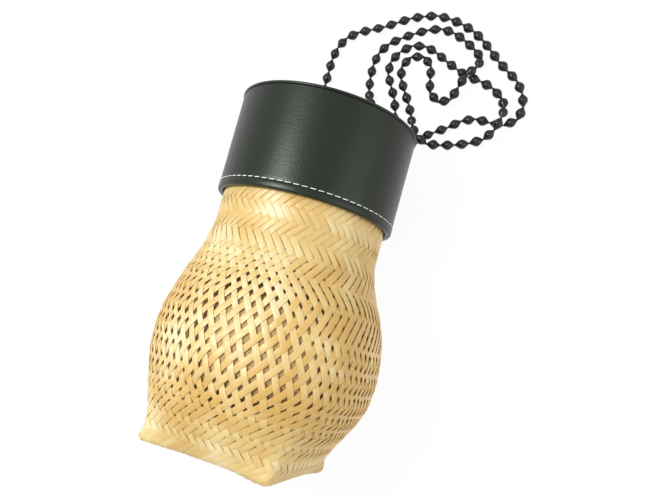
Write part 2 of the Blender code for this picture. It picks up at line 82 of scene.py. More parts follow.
SHELL_LOW, SHELL_HIGH = bag_box("basket_shell")
POUCH_LOW, POUCH_HIGH = bag_box("cloth_pouch")
BAND_LOW, BAND_HIGH = bag_box("lid_band")
TOP_LOW, TOP_HIGH = bag_box("lid_top")
PIPING_LOW, PIPING_HIGH = bag_box("lid_piping")
LINING_LOW, LINING_HIGH = bag_box("lid_lining")
BINDING_LOW, BINDING_HIGH = bag_box("rim_binding")
HEM_LOW, HEM_HIGH = bag_box("hem_stitching")
SEAM_LOW, SEAM_HIGH = bag_box("seam_stitching")

# The wall's outline below the belly: share of the way up to the belly, share of the way out from the
# base's half width to the belly's, and how much of the square base is left in the section.
LOWER_WALL_SHARES = (
    (0.0, 0.0, 1.0),
    (0.05, 0.09, 0.8),
    (0.132, 0.242, 0.5),
    (0.309, 0.508, 0.15),
    (0.544, 0.79, 0.0),
    (0.794, 0.962, 0.0),
    (1.0, 1.0, 0.0),
)
# Above the belly: share of the way up to the neck, and share of the swelling that is left.
UPPER_WALL_SHARES = (
    (0.162, 0.953),
    (0.338, 0.8),
    (0.514, 0.587),
    (0.689, 0.313),
    (0.851, 0.107),
    (1.0, 0.0),
)
# How the base's corners are pulled out to ears: the angle round the axis, then how far sideways, along
# the axis and up.
EARS = (
    (45.0, -1.2 * MM, -1.6 * MM, 2.6 * MM),
    (135.0, -2.8 * MM, -0.4 * MM, 2.4 * MM),
    (225.0, -2.4 * MM, 0.0, 0.0),
    (315.0, 2.8 * MM, 0.0, -0.6 * MM),
)
# How far up the wall an ear's pull reaches, and the power of a cosine by which it narrows round the axis.
EAR_HEIGHT = 9 * MM
EAR_SHARPNESS = 24
# The stations where the belly's stand to the right starts, is whole, starts to fade and is gone.
SWAY_STATIONS = (18 * MM, 50 * MM, 92 * MM, 137 * MM)
# How far the strips lean from the bag's axis, at shares of the way up the basket, in degrees.
STRIP_LEAN_SHARES = (
    (0.0, 45.0),
    (0.047, 43.5),
    (0.094, 38.5),
    (0.131, 37.7),
    (0.178, 34.7),
    (0.211, 29.6),
    (0.25, 28.6),
    (0.42, 28.6),
    (0.47, 30.6),
    (0.516, 35.2),
    (0.61, 38.9),
    (0.704, 43.9),
    (1.0, 43.9),
)
# How much of the full spread the strips have in the middle of each face, at shares of the way up.
SPREAD_SHARES = ((0.0, 0.0), (0.14, 0.0), (0.235, 1.0), (0.425, 1.0), (0.54, 0.0), (1.0, 0.0))
# The turn at which they are spread most on the upper face, at shares of the way up.
SPREAD_TURN_SHARES = ((0.0, 0.193), (0.216, 0.193), (0.4225, 0.234), (1.0, 0.234))
# How far up the weave is beaten firm, and how much of its gaps and of its lift is left at the base.
FIRM_HEIGHT = 11 * MM
FIRM_SHARE = 0.6
# Where the weave has been pushed open to slits: the turn and the station at its middle, how far it
# reaches each way, and the share by which the strips are narrower there.
SLITS = (
    (0.035, 44 * MM, 0.045, 30 * MM, 0.3),
    (0.345, 66 * MM, 0.055, 34 * MM, 0.3),
    (0.26, 102 * MM, 0.08, 13 * MM, 0.13),
)
# Where the pouch is pressed close to the weave: the turn at the middle, and how far from it this is whole
# and gone. Then how far it lies above the belly's widest place, and how far it reaches each way.
PRESSED_TURNS = (0.2, 0.07, 0.11)
PRESSED_RISE = 4 * MM
PRESSED_REACH = 44 * MM
# The part of the whole twist that the weave has made, at shares of the way up.
TWIST_SHARES = (
    (0.0, 0.0),
    (0.05, 0.02),
    (0.216, 0.43),
    (0.28, 0.53),
    (0.4225, 0.6),
    (0.704, 1.0),
    (1.0, 1.0),
)
# From the base up, how many rows of crossings show the strips that lean right on top, then those that
# lean left, and so on: long floats round the base, short ones on the belly and chevrons above it.
FLOATS = (4, 2, 2, 1, 2, 1, 2, 2, 2, 2, 3, 3, 3, 3, 3, 3, 3, 3, 3, 3, 3, 3, 3, 3)
# Where the weave is plain instead: from which row up, and from which turn to which. It goes all round
# the belly, and higher up it is left only on the upper face and beside it.
PLAIN_WEAVE = ((11, 0.0, 1.0), (21, 0.17, 0.53), (23, 0.185, 0.53), (26, 0.195, 0.5), (28, 0.0, 0.0))

# The strap's route over the floor, from the eyelet on the left to the one on the right. Where no height
# is given the beads lie on the floor, and their thread is at LYING_MM.
LYING_MM = 3.8
ROUTE_MM = (
    (-35, 125, 58), (-35, 130.5, 48), (-35, 132, 32), (-35, 137, 16), (-35, 147, 6), (-35, 158),
    (-36, 169), (-35, 176), (-35, 187), (-32, 197), (-26, 205), (-17, 210), (-7, 213), (4, 217),
    (14, 222), (24, 226), (34, 228), (44, 229), (55, 226), (66, 222), (75.5, 216), (84, 208.6),
    (91.5, 200.5), (100, 192.5), (109, 186), (115, 178), (119, 168), (119, 158), (113, 151),
    (104, 149), (93, 151), (83, 151), (75, 146.5), (67, 140.5), (58.5, 136), (50, 130.8),
    (41, 125.5), (32.5, 128), (28, 138), (26.5, 149), (23.5, 158), (19, 167), (14, 176), (13, 187),
    (19, 197), (28, 203), (39, 203), (49, 198), (58, 192), (67, 187), (77, 182), (87, 180),
    (97, 175), (104, 168), (107.5, 159, 9.4), (106.5, 150, 13.2), (103, 142, 9), (96, 136, 4.4),
    (86, 132), (76, 129.3), (66, 127.6), (57.5, 126, 6.5), (50.5, 128.5, 12.2), (45.5, 134, 12.2),
    (42.5, 140.5, 8), (39, 148.5, 4.4), (34.5, 157.5), (28.5, 168), (23.5, 178), (23, 186),
    (27.5, 193), (36, 195.5), (44, 191), (47, 182), (47.5, 173), (51, 164.5), (58.5, 160, 4),
    (66.3, 162.3, 6), (70.3, 169, 10), (72.8, 176.5, 12.6), (76.6, 183, 12.6), (80.8, 188.6, 9.5),
    (82.9, 194.6, 6), (80.8, 200.2, 4), (75.3, 204.6), (68.9, 209.2), (61.5, 214), (53, 217.5),
    (44, 218.6), (33, 215.4), (22.5, 210.6), (12.6, 205.2), (4.4, 198.3), (0.5, 188.5), (0, 177),
    (1, 166), (4, 156, 5.5), (10, 147.5, 13), (17, 141, 25), (24, 135.5, 38), (30, 130, 50),
    (34, 123, 58.5),
)
CURVE_STEPS = 24
# How far a wave texture at scale 1 turns in one unit of length, in radians.
WAVE_TURN = 20.0


def length(name, description, default):
    """A size that a user may change, in metres."""
    return bpy.props.FloatProperty(
        name=name, description=description, default=default, unit="LENGTH", precision=5, min=0.0
    )


def colour(name, description, default):
    """A colour that a user may change, as an sRGB hex value."""
    return bpy.props.StringProperty(name=name, description=description, default=default)


class BasketSettings(bpy.types.PropertyGroup):
    height: length("Height", "From the base to the rim", SHELL_HIGH.y)
    belly_half: length("Belly half width", "Half the width at the widest place", SHELL_HIGH.x)
    belly_station: length("Belly height", "Where the basket is widest", 68 * MM)
    base_half: length("Base half width", "Half the side of the square base", 43.6 * MM)
    neck_radius: length("Neck radius", "Radius of the straight neck", 55 * MM)
    neck_station: length("Neck height", "Where the straight neck starts", 142 * MM)
    belly_exponent: bpy.props.FloatProperty(
        name="Belly squareness", description="Exponent of the section at the belly", default=2.6
    )
    fold: length("Fold", "Radius of the fold round the base", 2.6 * MM)
    corner_exponent: bpy.props.FloatProperty(
        name="Corner sharpness", description="Exponent of the base's square section", default=20.0
    )
    sway: length("Sway", "How far the hand-woven belly stands off to the right", 3.2 * MM)
    strips: bpy.props.IntProperty(
        name="Strips", description="Strips that lean each way, all round", default=62, min=8
    )
    strip_width: length("Strip width", "Width of one bamboo strip", 3.95 * MM)
    strip_gap: length("Strip gap", "Least gap between strips side by side", 0.2 * MM)
    strip_thickness: length("Strip thickness", "Thickness of one bamboo strip", 0.44 * MM)
    strip_edge: length("Strip edge", "How much a strip thins at its edges", 0.13 * MM)
    strip_lift: length("Strip lift", "How far a strip lies off the weave's middle", 0.27 * MM)
    strip_bulge: length("Strip bulge", "How far a long float stands out", 0.4 * MM)
    strip_step: length("Strip step", "Distance between a strip's cross-sections", 1.3 * MM)
    spread: bpy.props.FloatProperty(
        name="Spread", description="How much wider apart strips are in a face's middle", default=0.2
    )
    twist: bpy.props.FloatProperty(
        name="Twist", description="Turns that the weave twists on its way up", default=-0.034
    )
    wander: length("Wander", "How far a strip strays from its line", 0.35 * MM)
    underlap: length("Underlap", "How far the wall's strips turn in under the base", 3 * MM)
    pouch_slack: length("Pouch slack", "How deep the pouch's folds are", 0.6 * MM)
    pouch_fall: length("Pouch fall", "How far the pouch hangs off the weave at the flanks", 11 * MM)
    pouch_cloth: length("Pouch cloth", "Thickness of the pouch's cloth", 0.5 * MM)
    rim_draw: length("Rim draw", "How far the neck draws in towards its bound rim", 2 * MM)
    rim_depth: length("Rim depth", "From the rim binding's outside to its inside", 6.4 * MM)
    tape: length("Tape", "Thickness of the tape that binds the rim", 0.5 * MM)


class LidSettings(bpy.types.PropertyGroup):
    foot_radius: length("Foot radius", "Radius of the lid's open end", 59.6 * MM)
    hem_depth: length("Hem depth", "From the outside of the foot to the hem's inside", 3.5 * MM)
    leather: length("Leather", "Thickness of the leather", 1.1 * MM)
    fold_height: length("Fold", "How far the hem is turned up inside", 14 * MM)
    foot_round: length("Foot rounding", "Radius of the hem's fold on its outer side", 1.5 * MM)
    foot_inner_round: length("Inner foot rounding", "The same on its inner side", 0.8 * MM)
    hem_swell: length("Hem swell", "How far the hem stands out below its stitches", 0.25 * MM)
    hem_drop: length("Hem drop", "How far the hem hangs below the lid's core", 1.2 * MM)
    groove: length("Stitch groove", "How deep the sewing pulls the leather in", 0.3 * MM)
    unevenness: length("Unevenness", "How far the leather departs from a true round", 0.35 * MM)
    stitches: bpy.props.IntProperty(
        name="Stitches", description="Stitches round the hem", default=73, min=8
    )
    stitch_length: length("Stitch length", "Length of a stitch that shows", 3.8 * MM)
    stitch_thickness: length("Stitch thickness", "Thickness of the sewing thread", 0.62 * MM)
    seam_pitch: length("Seam pitch", "From one stitch of the seam to the next", 4.7 * MM)
    bore: length("Bore", "Radius of the hole through an eyelet", 1.5 * MM)
    washer_bore: length("Washer bore", "Radius of the hole through an eyelet's washer", 2.6 * MM)


class StrapSettings(bpy.types.PropertyGroup):
    thread: length("Thread", "Diameter of the thread", 1.1 * MM)
    bead: length("Bead", "Diameter of a bead", 7.3 * MM)
    bead_length: length("Bead length", "Length of a bead", 9.9 * MM)
    bead_pitch: length("Bead pitch", "From one bead to the next", 10.6 * MM)


class ColourSettings(bpy.types.PropertyGroup):
    straw: colour("Straw", "Palest bamboo", "#F3DEAE")
    honey: colour("Honey", "Common bamboo", "#E2C383")
    amber: colour("Amber", "Darkest bamboo", "#D3AB5C")
    node_brown: colour("Fibre brown", "Thin dark fibres in the bamboo", "#8F6C34")
    pouch: colour("Pouch", "Cloth of the pouch", "#BE9D69")
    leather: colour("Leather", "Black leather", "#0B100A")
    leather_edge: colour("Leather edge", "Piping round the lid's top", "#090B09")
    thread: colour("Sewing thread", "White top-stitching", "#F4F4EE")
    bead: colour("Bead", "Black lacquer", "#171A16")
    black: colour("Black trim", "Cord, eyelets and lining", "#191A19")
    rubbed: colour("Rubbed enamel", "Where the eyelets' enamel is rubbed", "#3A3A38")
    tape: colour("Binding tape", "Tape round the basket's rim", "#A08A62")
    card: colour("Card", "Board inside the lid", "#8C7758")
    backdrop: colour("Backdrop", "Floor and background", "#FFFFFF")


class StageSettings(bpy.types.PropertyGroup):
    camera_place: bpy.props.FloatVectorProperty(
        name="Camera place", description="Where the camera stands", default=(0.1653, -0.0151, 0.4679)
    )
    camera_aim: bpy.props.FloatVectorProperty(
        name="Camera aim", description="The picture's middle on the floor", default=(0.0054, 0.035, 0.0)
    )
    camera_up: bpy.props.FloatVectorProperty(
        name="Camera up", description="What is upward in the picture", default=(-0.2005, 0.9645, 0.1719)
    )
    lens: bpy.props.FloatProperty(name="Lens", description="Focal length in millimetres", default=34.93)


class BagSettings(bpy.types.PropertyGroup):
    basket: bpy.props.PointerProperty(type=BasketSettings)
    lid: bpy.props.PointerProperty(type=LidSettings)
    strap: bpy.props.PointerProperty(type=StrapSettings)
    colours: bpy.props.PointerProperty(type=ColourSettings)
    stage: bpy.props.PointerProperty(type=StageSettings)


def settings():
    """All that a user may change about the bag."""
    return bpy.context.scene.basket_bag


def linear(hex_colour):
    """An sRGB hex value as the linear colour that a socket takes."""
    channels = [int(hex_colour[k : k + 2], 16) / 255 for k in (1, 3, 5)]
    return tuple(c / 12.92 if c <= 0.04045 else ((c + 0.055) / 1.055) ** 2.4 for c in channels) + (1.0,)


def set_node(node, values):
    """Sets a node's properties and inputs. A node or an output among the values is linked instead."""
    for key, value in values.items():
        if isinstance(value, bpy.types.Node):
            value = value.outputs[0]
        if isinstance(key, str) and hasattr(node, key):
            setattr(node, key, value)
        elif isinstance(value, bpy.types.NodeSocket):
            node.id_data.links.new(value, node.inputs[key])
        else:
            node.inputs[key].default_value = value
    return node


def add_node(tree, kind, values=None):
    """A new node with its settings and links."""
    return set_node(tree.nodes.new(kind), values or {})


def new_material(name):
    """A material with its node tree and its surface shader."""
    made = bpy.data.materials.new(name)
    made.use_nodes = True
    tree = made.node_tree
    return made, tree, tree.nodes["Principled BSDF"]


def shaded(tree, hex_colour, level, low, high):
    """A colour that a pattern's level makes darker and lighter, between two shares of itself."""
    share = add_node(tree, "ShaderNodeMapRange", {"Value": level, "To Min": low, "To Max": high})
    values = {"data_type": "RGBA", "blend_type": "MULTIPLY", 0: 1.0, 6: linear(hex_colour), 7: share}
    return add_node(tree, "ShaderNodeMix", values).outputs[2]


def bamboo_strips(name, *stops):
    """Split bamboo, planed and left raw. It is straw-coloured with a silky sheen along the fibres.

    The strips' own UV map runs in metres along and across each strip, from a start that differs from
    strip to strip. The attribute "tint" holds one value for each strip, as split canes differ.
    """
    made, tree, shader = new_material(name)
    place = add_node(tree, "ShaderNodeUVMap", {"uv_map": "UVMap"})
    tint = add_node(tree, "ShaderNodeAttribute", {"attribute_name": "tint"}).outputs["Fac"]
    whole = add_node(tree, "ShaderNodeTexCoord").outputs["Object"]
    # The basket has soft zones of one shade some 30 mm across. A patch of one colour is about 20 mm long
    # on the cane, and fibres are drawn 0.55 mm apart, twice as coarse as they are, so that they show.
    zones = add_node(tree, "ShaderNodeTexNoise", {"Scale": 32.0, "Detail": 1.0, "Vector": whole})
    stretch = add_node(tree, "ShaderNodeMapping", {"Scale": (50.0, 160.0, 1.0), "Vector": place})
    patches = add_node(tree, "ShaderNodeTexNoise", {"Scale": 1.0, "Detail": 3.0, "Vector": stretch})
    lines = add_node(tree, "ShaderNodeMapping", {"Scale": (70.0, 1800.0, 1.0), "Vector": place})
    fibres = add_node(tree, "ShaderNodeTexNoise", {"Scale": 1.0, "Detail": 4.0, "Vector": lines})
    level = add_node(
        tree, "ShaderNodeMapRange", {"Value": zones, "From Min": 0.3, "From Max": 0.7, "To Max": 0.6}
    )
    # The side to the right is painted a deeper gold: painted shade for the side away from the lamps.
    right = add_node(tree, "ShaderNodeSeparateXYZ", {0: whole})
    painted_right_shade = add_node(
        tree, "ShaderNodeMapRange", {"Value": right, "From Min": 0.02, "From Max": 0.065, "To Max": 0.4}
    )
    for share, pattern in ((0.36, patches), (0.24, tint), (1.0, painted_right_shade)):
        values = {"operation": "MULTIPLY_ADD", 0: pattern, 1: share, 2: level}
        level = add_node(tree, "ShaderNodeMath", values)
    ramp = add_node(tree, "ShaderNodeValToRGB", {"Fac": level})
    ramp.color_ramp.elements.new(0.5)
    for element, (position, hex_colour) in zip(ramp.color_ramp.elements, stops):
        element.position = position
        element.color = linear(hex_colour)
    dark = add_node(
        tree, "ShaderNodeMapRange", {"Value": fibres, "From Min": 0.52, "From Max": 0.8, "To Max": 0.34}
    )
    brown = linear(settings().colours.node_brown)
    painted = add_node(tree, "ShaderNodeMix", {"data_type": "RGBA", 0: dark, 6: ramp, 7: brown})
    rough = add_node(tree, "ShaderNodeMapRange", {"Value": fibres, "To Min": 0.36, "To Max": 0.56})
    bump = add_node(tree, "ShaderNodeBump", {"Strength": 0.4, "Distance": 0.2 * MM, "Height": fibres})
    set_node(shader, {"Base Color": painted.outputs[2], "Roughness": rough, "Normal": bump})
    # A strip half a millimetre thick lets some light through, the red part of it furthest.
    reach = {"Subsurface Radius": (1.0, 0.6, 0.25), "Subsurface Scale": 1.2 * MM}
    set_node(shader, {"Subsurface Weight": 0.5, **reach})
    # Its waxy skin gives a broad white glare.
    set_node(shader, {"Coat Weight": 0.3, "Coat Roughness": 0.36})
    return made


def woven_cloth(name, hex_colour, spacing):
    """Plain-woven cotton, dyed or raw, whose threads cross as small bumps.

    A wave texture turns by WAVE_TURN in each unit, so its bands come out six times as wide as the
    threads' real spacing. That is coarse enough to show.
    """
    made, tree, shader = new_material(name)
    place = add_node(tree, "ShaderNodeTexCoord").outputs["Object"]
    waves = []
    for direction in ("X", "Y", "Z"):
        values = {"bands_direction": direction, "Scale": 1 / (WAVE_TURN * spacing), "Distortion": 0.6}
        waves.append(add_node(tree, "ShaderNodeTexWave", {**values, "Vector": place}).outputs["Fac"])
    both = add_node(tree, "ShaderNodeMath", {"operation": "MULTIPLY", 0: waves[0], 1: waves[1]})
    weave = add_node(tree, "ShaderNodeMath", {"operation": "MAXIMUM", 0: both, 1: waves[2]})
    cloud = add_node(tree, "ShaderNodeTexNoise", {"Scale": 60.0, "Detail": 4.0, "Vector": place})
    painted = shaded(tree, hex_colour, cloud, 0.85, 1.1)
    bump = add_node(tree, "ShaderNodeBump", {"Strength": 0.4, "Distance": 0.2 * MM, "Height": weave})
    set_node(shader, {"Base Color": painted, "Roughness": 0.9, "Sheen Weight": 0.15, "Normal": bump})
    return made


def black_leather(name, hex_colour):
    """Chrome-tanned cowhide with a smooth satin finish: fine pebbled grain and soft broad highlights."""
    made, tree, shader = new_material(name)
    place = add_node(tree, "ShaderNodeTexCoord").outputs["Object"]
    # Grain pebbles are about 0.7 mm across, creases lie 2 mm apart, and the shade drifts over 25 mm.
    grain = add_node(
        tree, "ShaderNodeTexVoronoi", {"feature": "SMOOTH_F1", "Scale": 1400.0, "Vector": place}
    )
    creases = add_node(tree, "ShaderNodeTexNoise", {"Scale": 500.0, "Detail": 5.0, "Vector": place})
    drift = add_node(tree, "ShaderNodeTexNoise", {"Scale": 40.0, "Detail": 2.0, "Vector": place})
    painted = shaded(tree, hex_colour, drift, 0.85, 1.15)
    rough = add_node(tree, "ShaderNodeMapRange", {"Value": creases, "To Min": 0.28, "To Max": 0.42})
    height = add_node(tree, "ShaderNodeMath", {"operation": "ADD", 0: grain, 1: creases})
    bump = add_node(tree, "ShaderNodeBump", {"Strength": 0.28, "Distance": 0.2 * MM, "Height": height})
    set_node(shader, {"Base Color": painted, "Roughness": rough, "Normal": bump})
    # The dye leaves a faint green cast in the shine.
    set_node(shader, {"Specular IOR Level": 0.4, "Specular Tint": (0.91, 1.0, 0.86, 1.0)})
    return made


def twisted_thread(name, hex_colour, roughness, spacing):
    """Polyester or cotton thread laid up from plies, whose slanting lines catch the light.

    The plies are drawn six times as coarse as their spacing, as the threads of woven_cloth are.
    """
    made, tree, shader = new_material(name)
    place = add_node(tree, "ShaderNodeTexCoord").outputs["Object"]
    values = {"bands_direction": "DIAGONAL", "Scale": 1 / (WAVE_TURN * spacing), "Distortion": 1.0}
    plies = add_node(tree, "ShaderNodeTexWave", {**values, "Vector": place}).outputs["Fac"]
    painted = shaded(tree, hex_colour, plies, 0.8, 1.0)
    bump = add_node(tree, "ShaderNodeBump", {"Strength": 0.5, "Distance": 0.1 * MM, "Height": plies})
    set_node(shader, {"Base Color": painted, "Roughness": roughness, "Normal": bump})
    return made


def lacquered_wood(name):
    """Turned wooden beads under black lacquer: glossy, with faint turning lines and dull worn spots."""
    made, tree, shader = new_material(name)
    place = add_node(tree, "ShaderNodeTexCoord").outputs["Object"]
    # Worn spots and tool marks are about 1 mm across.
    marks = add_node(tree, "ShaderNodeTexNoise", {"Scale": 900.0, "Detail": 4.0, "Vector": place})
    worn = {"Value": marks, "From Min": 0.3, "From Max": 0.7, "To Min": 0.16, "To Max": 0.36}
    rough = add_node(tree, "ShaderNodeMapRange", worn)
    painted = shaded(tree, settings().colours.bead, marks, 0.8, 1.3)
    bump = add_node(tree, "ShaderNodeBump", {"Strength": 0.25, "Distance": 0.2 * MM, "Height": marks})
    set_node(shader, {"Base Color": painted, "Roughness": rough, "Normal": bump})
    set_node(shader, {"Specular IOR Level": 0.35})
    return made


def enamelled_metal(name):
    """Stamped brass eyelets under black enamel, rubbed a little in spots of 1 mm."""
    made, tree, shader = new_material(name)
    place = add_node(tree, "ShaderNodeTexCoord").outputs["Object"]
    rub = add_node(tree, "ShaderNodeTexNoise", {"Scale": 1200.0, "Detail": 3.0, "Vector": place})
    rough = add_node(tree, "ShaderNodeMapRange", {"Value": rub, "To Min": 0.25, "To Max": 0.45})
    colours = settings().colours
    values = {"data_type": "RGBA", 0: rub, 6: linear(colours.black), 7: linear(colours.rubbed)}
    painted = add_node(tree, "ShaderNodeMix", values).outputs[2]
    set_node(shader, {"Base Color": painted, "Roughness": rough, "Metallic": 0.7})
    return made


def pressed_card(name):
    """Grey-brown pulp board, matt, with flecks of fibre about 1.5 mm across."""
    made, tree, shader = new_material(name)
    place = add_node(tree, "ShaderNodeTexCoord").outputs["Object"]
    flecks = add_node(tree, "ShaderNodeTexNoise", {"Scale": 700.0, "Detail": 6.0, "Vector": place})
    painted = shaded(tree, settings().colours.card, flecks, 0.7, 1.15)
    set_node(shader, {"Base Color": painted, "Roughness": 0.9})
    return made


def wear(piece, look):
    """Gives a piece the one material that it is made of."""
    piece.data.materials.clear()
    piece.data.materials.append(look)


def finish_piece(piece, look, body, node=None):
    """Lays a piece made in the bag's own places on the floor, and gives it its material and body."""
    piece.data.transform(BAG_PLACE)
    piece.data.update()
    wear(piece, look)
    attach(piece, body)
    if node:
        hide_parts(node)


def select_only(*pieces):
    """Selects these objects, or none, and no others. The first of them is made active."""
    bpy.ops.object.select_all(action="DESELECT")
    for piece in reversed(pieces):
        piece.select_set(True)
        bpy.context.view_layer.objects.active = piece


def new_object(name, data):
    """A new object in the scene, selected and active."""
    piece = bpy.data.objects.new(name, data)
    bpy.context.scene.collection.objects.link(piece)
    select_only(piece)
    return piece


def face_outward():
    """Turns the active object's faces outward."""
    bpy.ops.object.mode_set(mode="EDIT")
    bpy.ops.mesh.select_all(action="SELECT")
    bpy.ops.mesh.normals_make_consistent(inside=False)
    bpy.ops.object.mode_set(mode="OBJECT")


def turned(name, rows, sides, capped=False):
    """A circle extruded from row to row. Each row is a station and a radius.

    The outline closes on itself into a ring, or its first and last circles are filled.
    """
    select_only()
    station, radius = rows[0]
    bpy.ops.mesh.primitive_circle_add(
        vertices=sides, radius=radius, location=(0.0, station, 0.0), rotation=(math.pi / 2, 0.0, 0.0)
    )
    piece = bpy.context.object
    piece.name = name
    bpy.ops.object.transform_apply(location=True, rotation=True, scale=True)
    bpy.ops.object.mode_set(mode="EDIT")
    bpy.ops.mesh.select_all(action="SELECT")
    for next_station, next_radius in rows[1:]:
        move = {"value": (0.0, next_station - station, 0.0)}
        bpy.ops.mesh.extrude_edges_move(TRANSFORM_OT_translate=move)
        growth = next_radius / radius
        bpy.ops.transform.resize(value=(growth, 1.0, growth), center_override=(0.0, 0.0, 0.0))
        station, radius = next_station, next_radius
    bpy.ops.mesh.select_all(action="DESELECT")
    bpy.ops.mesh.select_mode(type="EDGE")
    bpy.ops.mesh.select_non_manifold()
    if capped:
        bpy.ops.mesh.fill_holes(sides=sides)
    else:
        bpy.ops.mesh.bridge_edge_loops()
    face_outward()
    bpy.ops.object.shade_smooth_by_angle(angle=math.radians(40.0))
    return piece


def arc_rows(station, radius, size, start, end, steps):
    """Rows on an arc of a given size about a station and a radius. Angle 0 points away from the axis."""
    rows = []
    for k in range(steps + 1):
        angle = math.radians(start + (end - start) * k / steps)
        rows.append((station + size * math.sin(angle), radius + size * math.cos(angle)))
    return rows


def roughened(piece, size, strength):
    """Moves a piece's surface in and out by a smooth noise of a given size."""
    cloud = bpy.data.textures.new(f"{piece.name}_cloud", "CLOUDS")
    cloud.noise_scale = size
    cloud.noise_depth = 1
    push = piece.modifiers.new("unevenness", "DISPLACE")
    push.texture = cloud
    push.strength = strength
    push.mid_level = 0.5
    select_only(piece)
    bpy.ops.object.modifier_apply(modifier=push.name)


def smooth_through(places, values, wanted):
    """Values at the wanted places, on a smooth curve through the given ones that doesn't overshoot."""
    places = np.array(places)
    values = np.array(values)
    slopes = np.diff(values) / np.diff(places)
    tangents = np.zeros(len(values))
    for k in range(1, len(slopes)):
        if slopes[k - 1] * slopes[k] > 0:
            tangents[k] = 2 * slopes[k - 1] * slopes[k] / (slopes[k - 1] + slopes[k])
    tangents[0] = slopes[0]
    tangents[-1] = slopes[-1]
    index = np.clip(np.searchsorted(places, wanted) - 1, 0, len(slopes) - 1)
    span = places[index + 1] - places[index]
    t = np.clip((wanted - places[index]) / span, 0, 1)
    return (
        values[index] * (2 * t**3 - 3 * t**2 + 1)
        + tangents[index] * span * (t**3 - 2 * t**2 + t)
        + values[index + 1] * (3 * t**2 - 2 * t**3)
        + tangents[index + 1] * span * (t**3 - t**2)
    )


class Wall:
    """The basket's outer surface. A place on it is a station and a turn, from 0 to 1 all round.

    Below station 0 the surface turns in under the base, so that a strip can be laid round its edge.
    """

    # Rows of places lie this far apart. A row has COLUMNS places, evenly along an outline of FINE points.
    ROW_STEP = 1 * MM
    COLUMNS = 480
    FINE = 2880

    def __init__(self):
        basket = settings().basket
        stations = [basket.belly_station * up for up, _, _ in LOWER_WALL_SHARES]
        halves = [
            basket.base_half + (basket.belly_half - basket.base_half) * out
            for _, out, _ in LOWER_WALL_SHARES
        ]
        squares = [square for _, _, square in LOWER_WALL_SHARES]
        exponents = [basket.belly_exponent] * len(LOWER_WALL_SHARES)
        for up, swelling in UPPER_WALL_SHARES:
            stations.append(basket.belly_station + (basket.neck_station - basket.belly_station) * up)
            halves.append(basket.neck_radius + (basket.belly_half - basket.neck_radius) * swelling)
            squares.append(0.0)
            exponents.append(2.0 + (basket.belly_exponent - 2.0) * swelling)
        rim_radius = basket.neck_radius - basket.rim_draw
        for station, half in (
            (BAND_LOW.y, basket.neck_radius),
            (BINDING_LOW.y, rim_radius),
            (basket.height, rim_radius),
        ):
            stations.append(station)
            halves.append(half)
            squares.append(0.0)
            exponents.append(2.0)
        self.low = -math.ceil(basket.underlap / self.ROW_STEP) * self.ROW_STEP
        count = round((basket.height - self.low) / self.ROW_STEP) + 1
        self.along = self.low + np.arange(count) * self.ROW_STEP
        # Below the fold's start the surface follows a quarter circle and then runs in, flat.
        walked = np.maximum(basket.fold - self.along, 0.0)
        angle = np.minimum(walked / basket.fold, math.pi / 2)
        above = np.where(walked > 0.0, basket.fold * (1.0 - np.sin(angle)), self.along)
        inward = basket.fold * (1.0 - np.cos(angle)) + walked - angle * basket.fold
        half = smooth_through(stations, halves, above) - inward
        exponent = smooth_through(stations, exponents, above)
        square = smooth_through(stations, squares, above)
        angles = np.arange(self.FINE + 1) * math.tau / self.FINE
        across = np.abs(np.cos(angles))
        upward = np.abs(np.sin(angles))
        corner = basket.corner_exponent
        pointed = (across**corner + upward**corner) ** (-1 / corner)
        ears = [
            (np.maximum(np.cos(angles - math.radians(angle)), 0.0) ** EAR_SHARPNESS, Vector(pull))
            for angle, *pull in EARS
        ]
        start, whole, fading, gone = SWAY_STATIONS
        sway = basket.sway * smooth_step(above, start, whole) * (1.0 - smooth_step(above, fading, gone))
        self.grid = np.zeros((count, self.COLUMNS, 3))
        self.girth = np.zeros(count)
        for k in range(count):
            rounded = (across ** exponent[k] + upward ** exponent[k]) ** (-1 / exponent[k])
            reach = half[k] * (rounded + (pointed - rounded) * square[k])
            x = reach * np.cos(angles) + sway[k]
            z = reach * np.sin(angles)
            y = np.full(len(angles), above[k])
            pulled = math.exp(-((above[k] / EAR_HEIGHT) ** 2))
            for near, pull in ears:
                x += near * pulled * pull.x
                y += near * pulled * pull.y
                z += near * pulled * pull.z
            walked = running_sum(np.hypot(np.diff(x), np.diff(z)))
            self.girth[k] = walked[-1]
            even = np.arange(self.COLUMNS) * walked[-1] / self.COLUMNS
            for axis, values in enumerate((x, y, z)):
                self.grid[k, :, axis] = np.interp(even, walked, values)
        self.walked = running_sum(np.hypot(np.diff(half), np.diff(above)))
        self.walked -= np.interp(0.0, self.along, self.walked)

    def points(self, stations, turns):
        """Places on the wall, between its rows and columns."""
        rows = np.clip((stations - self.low) / self.ROW_STEP, 0, len(self.along) - 1.001)
        columns = (turns % 1.0) * self.COLUMNS
        row = rows.astype(int)
        column = columns.astype(int) % self.COLUMNS
        after = (column + 1) % self.COLUMNS
        up = (rows - row)[:, None]
        over = (columns - columns.astype(int))[:, None]
        lower = self.grid[row, column] * (1 - over) + self.grid[row, after] * over
        upper = self.grid[row + 1, column] * (1 - over) + self.grid[row + 1, after] * over
        return lower * (1 - up) + upper * up

    def outward(self, stations, turns):
        """Which way is out, square to the wall, judged over about a row and a column on either side."""
        up = 1.2 * self.ROW_STEP
        round_it = 0.96 / self.COLUMNS
        rise = self.points(stations + up, turns) - self.points(stations - up, turns)
        side = self.points(stations, turns + round_it) - self.points(stations, turns - round_it)
        normal = np.cross(rise, side)
        normal /= np.linalg.norm(normal, axis=1)[:, None]
        middle = np.array([0.0, settings().basket.belly_station, 0.0])
        away = np.sum(normal * (self.points(stations, turns) - middle), axis=1)
        return normal * np.where(away < 0, -1.0, 1.0)[:, None]


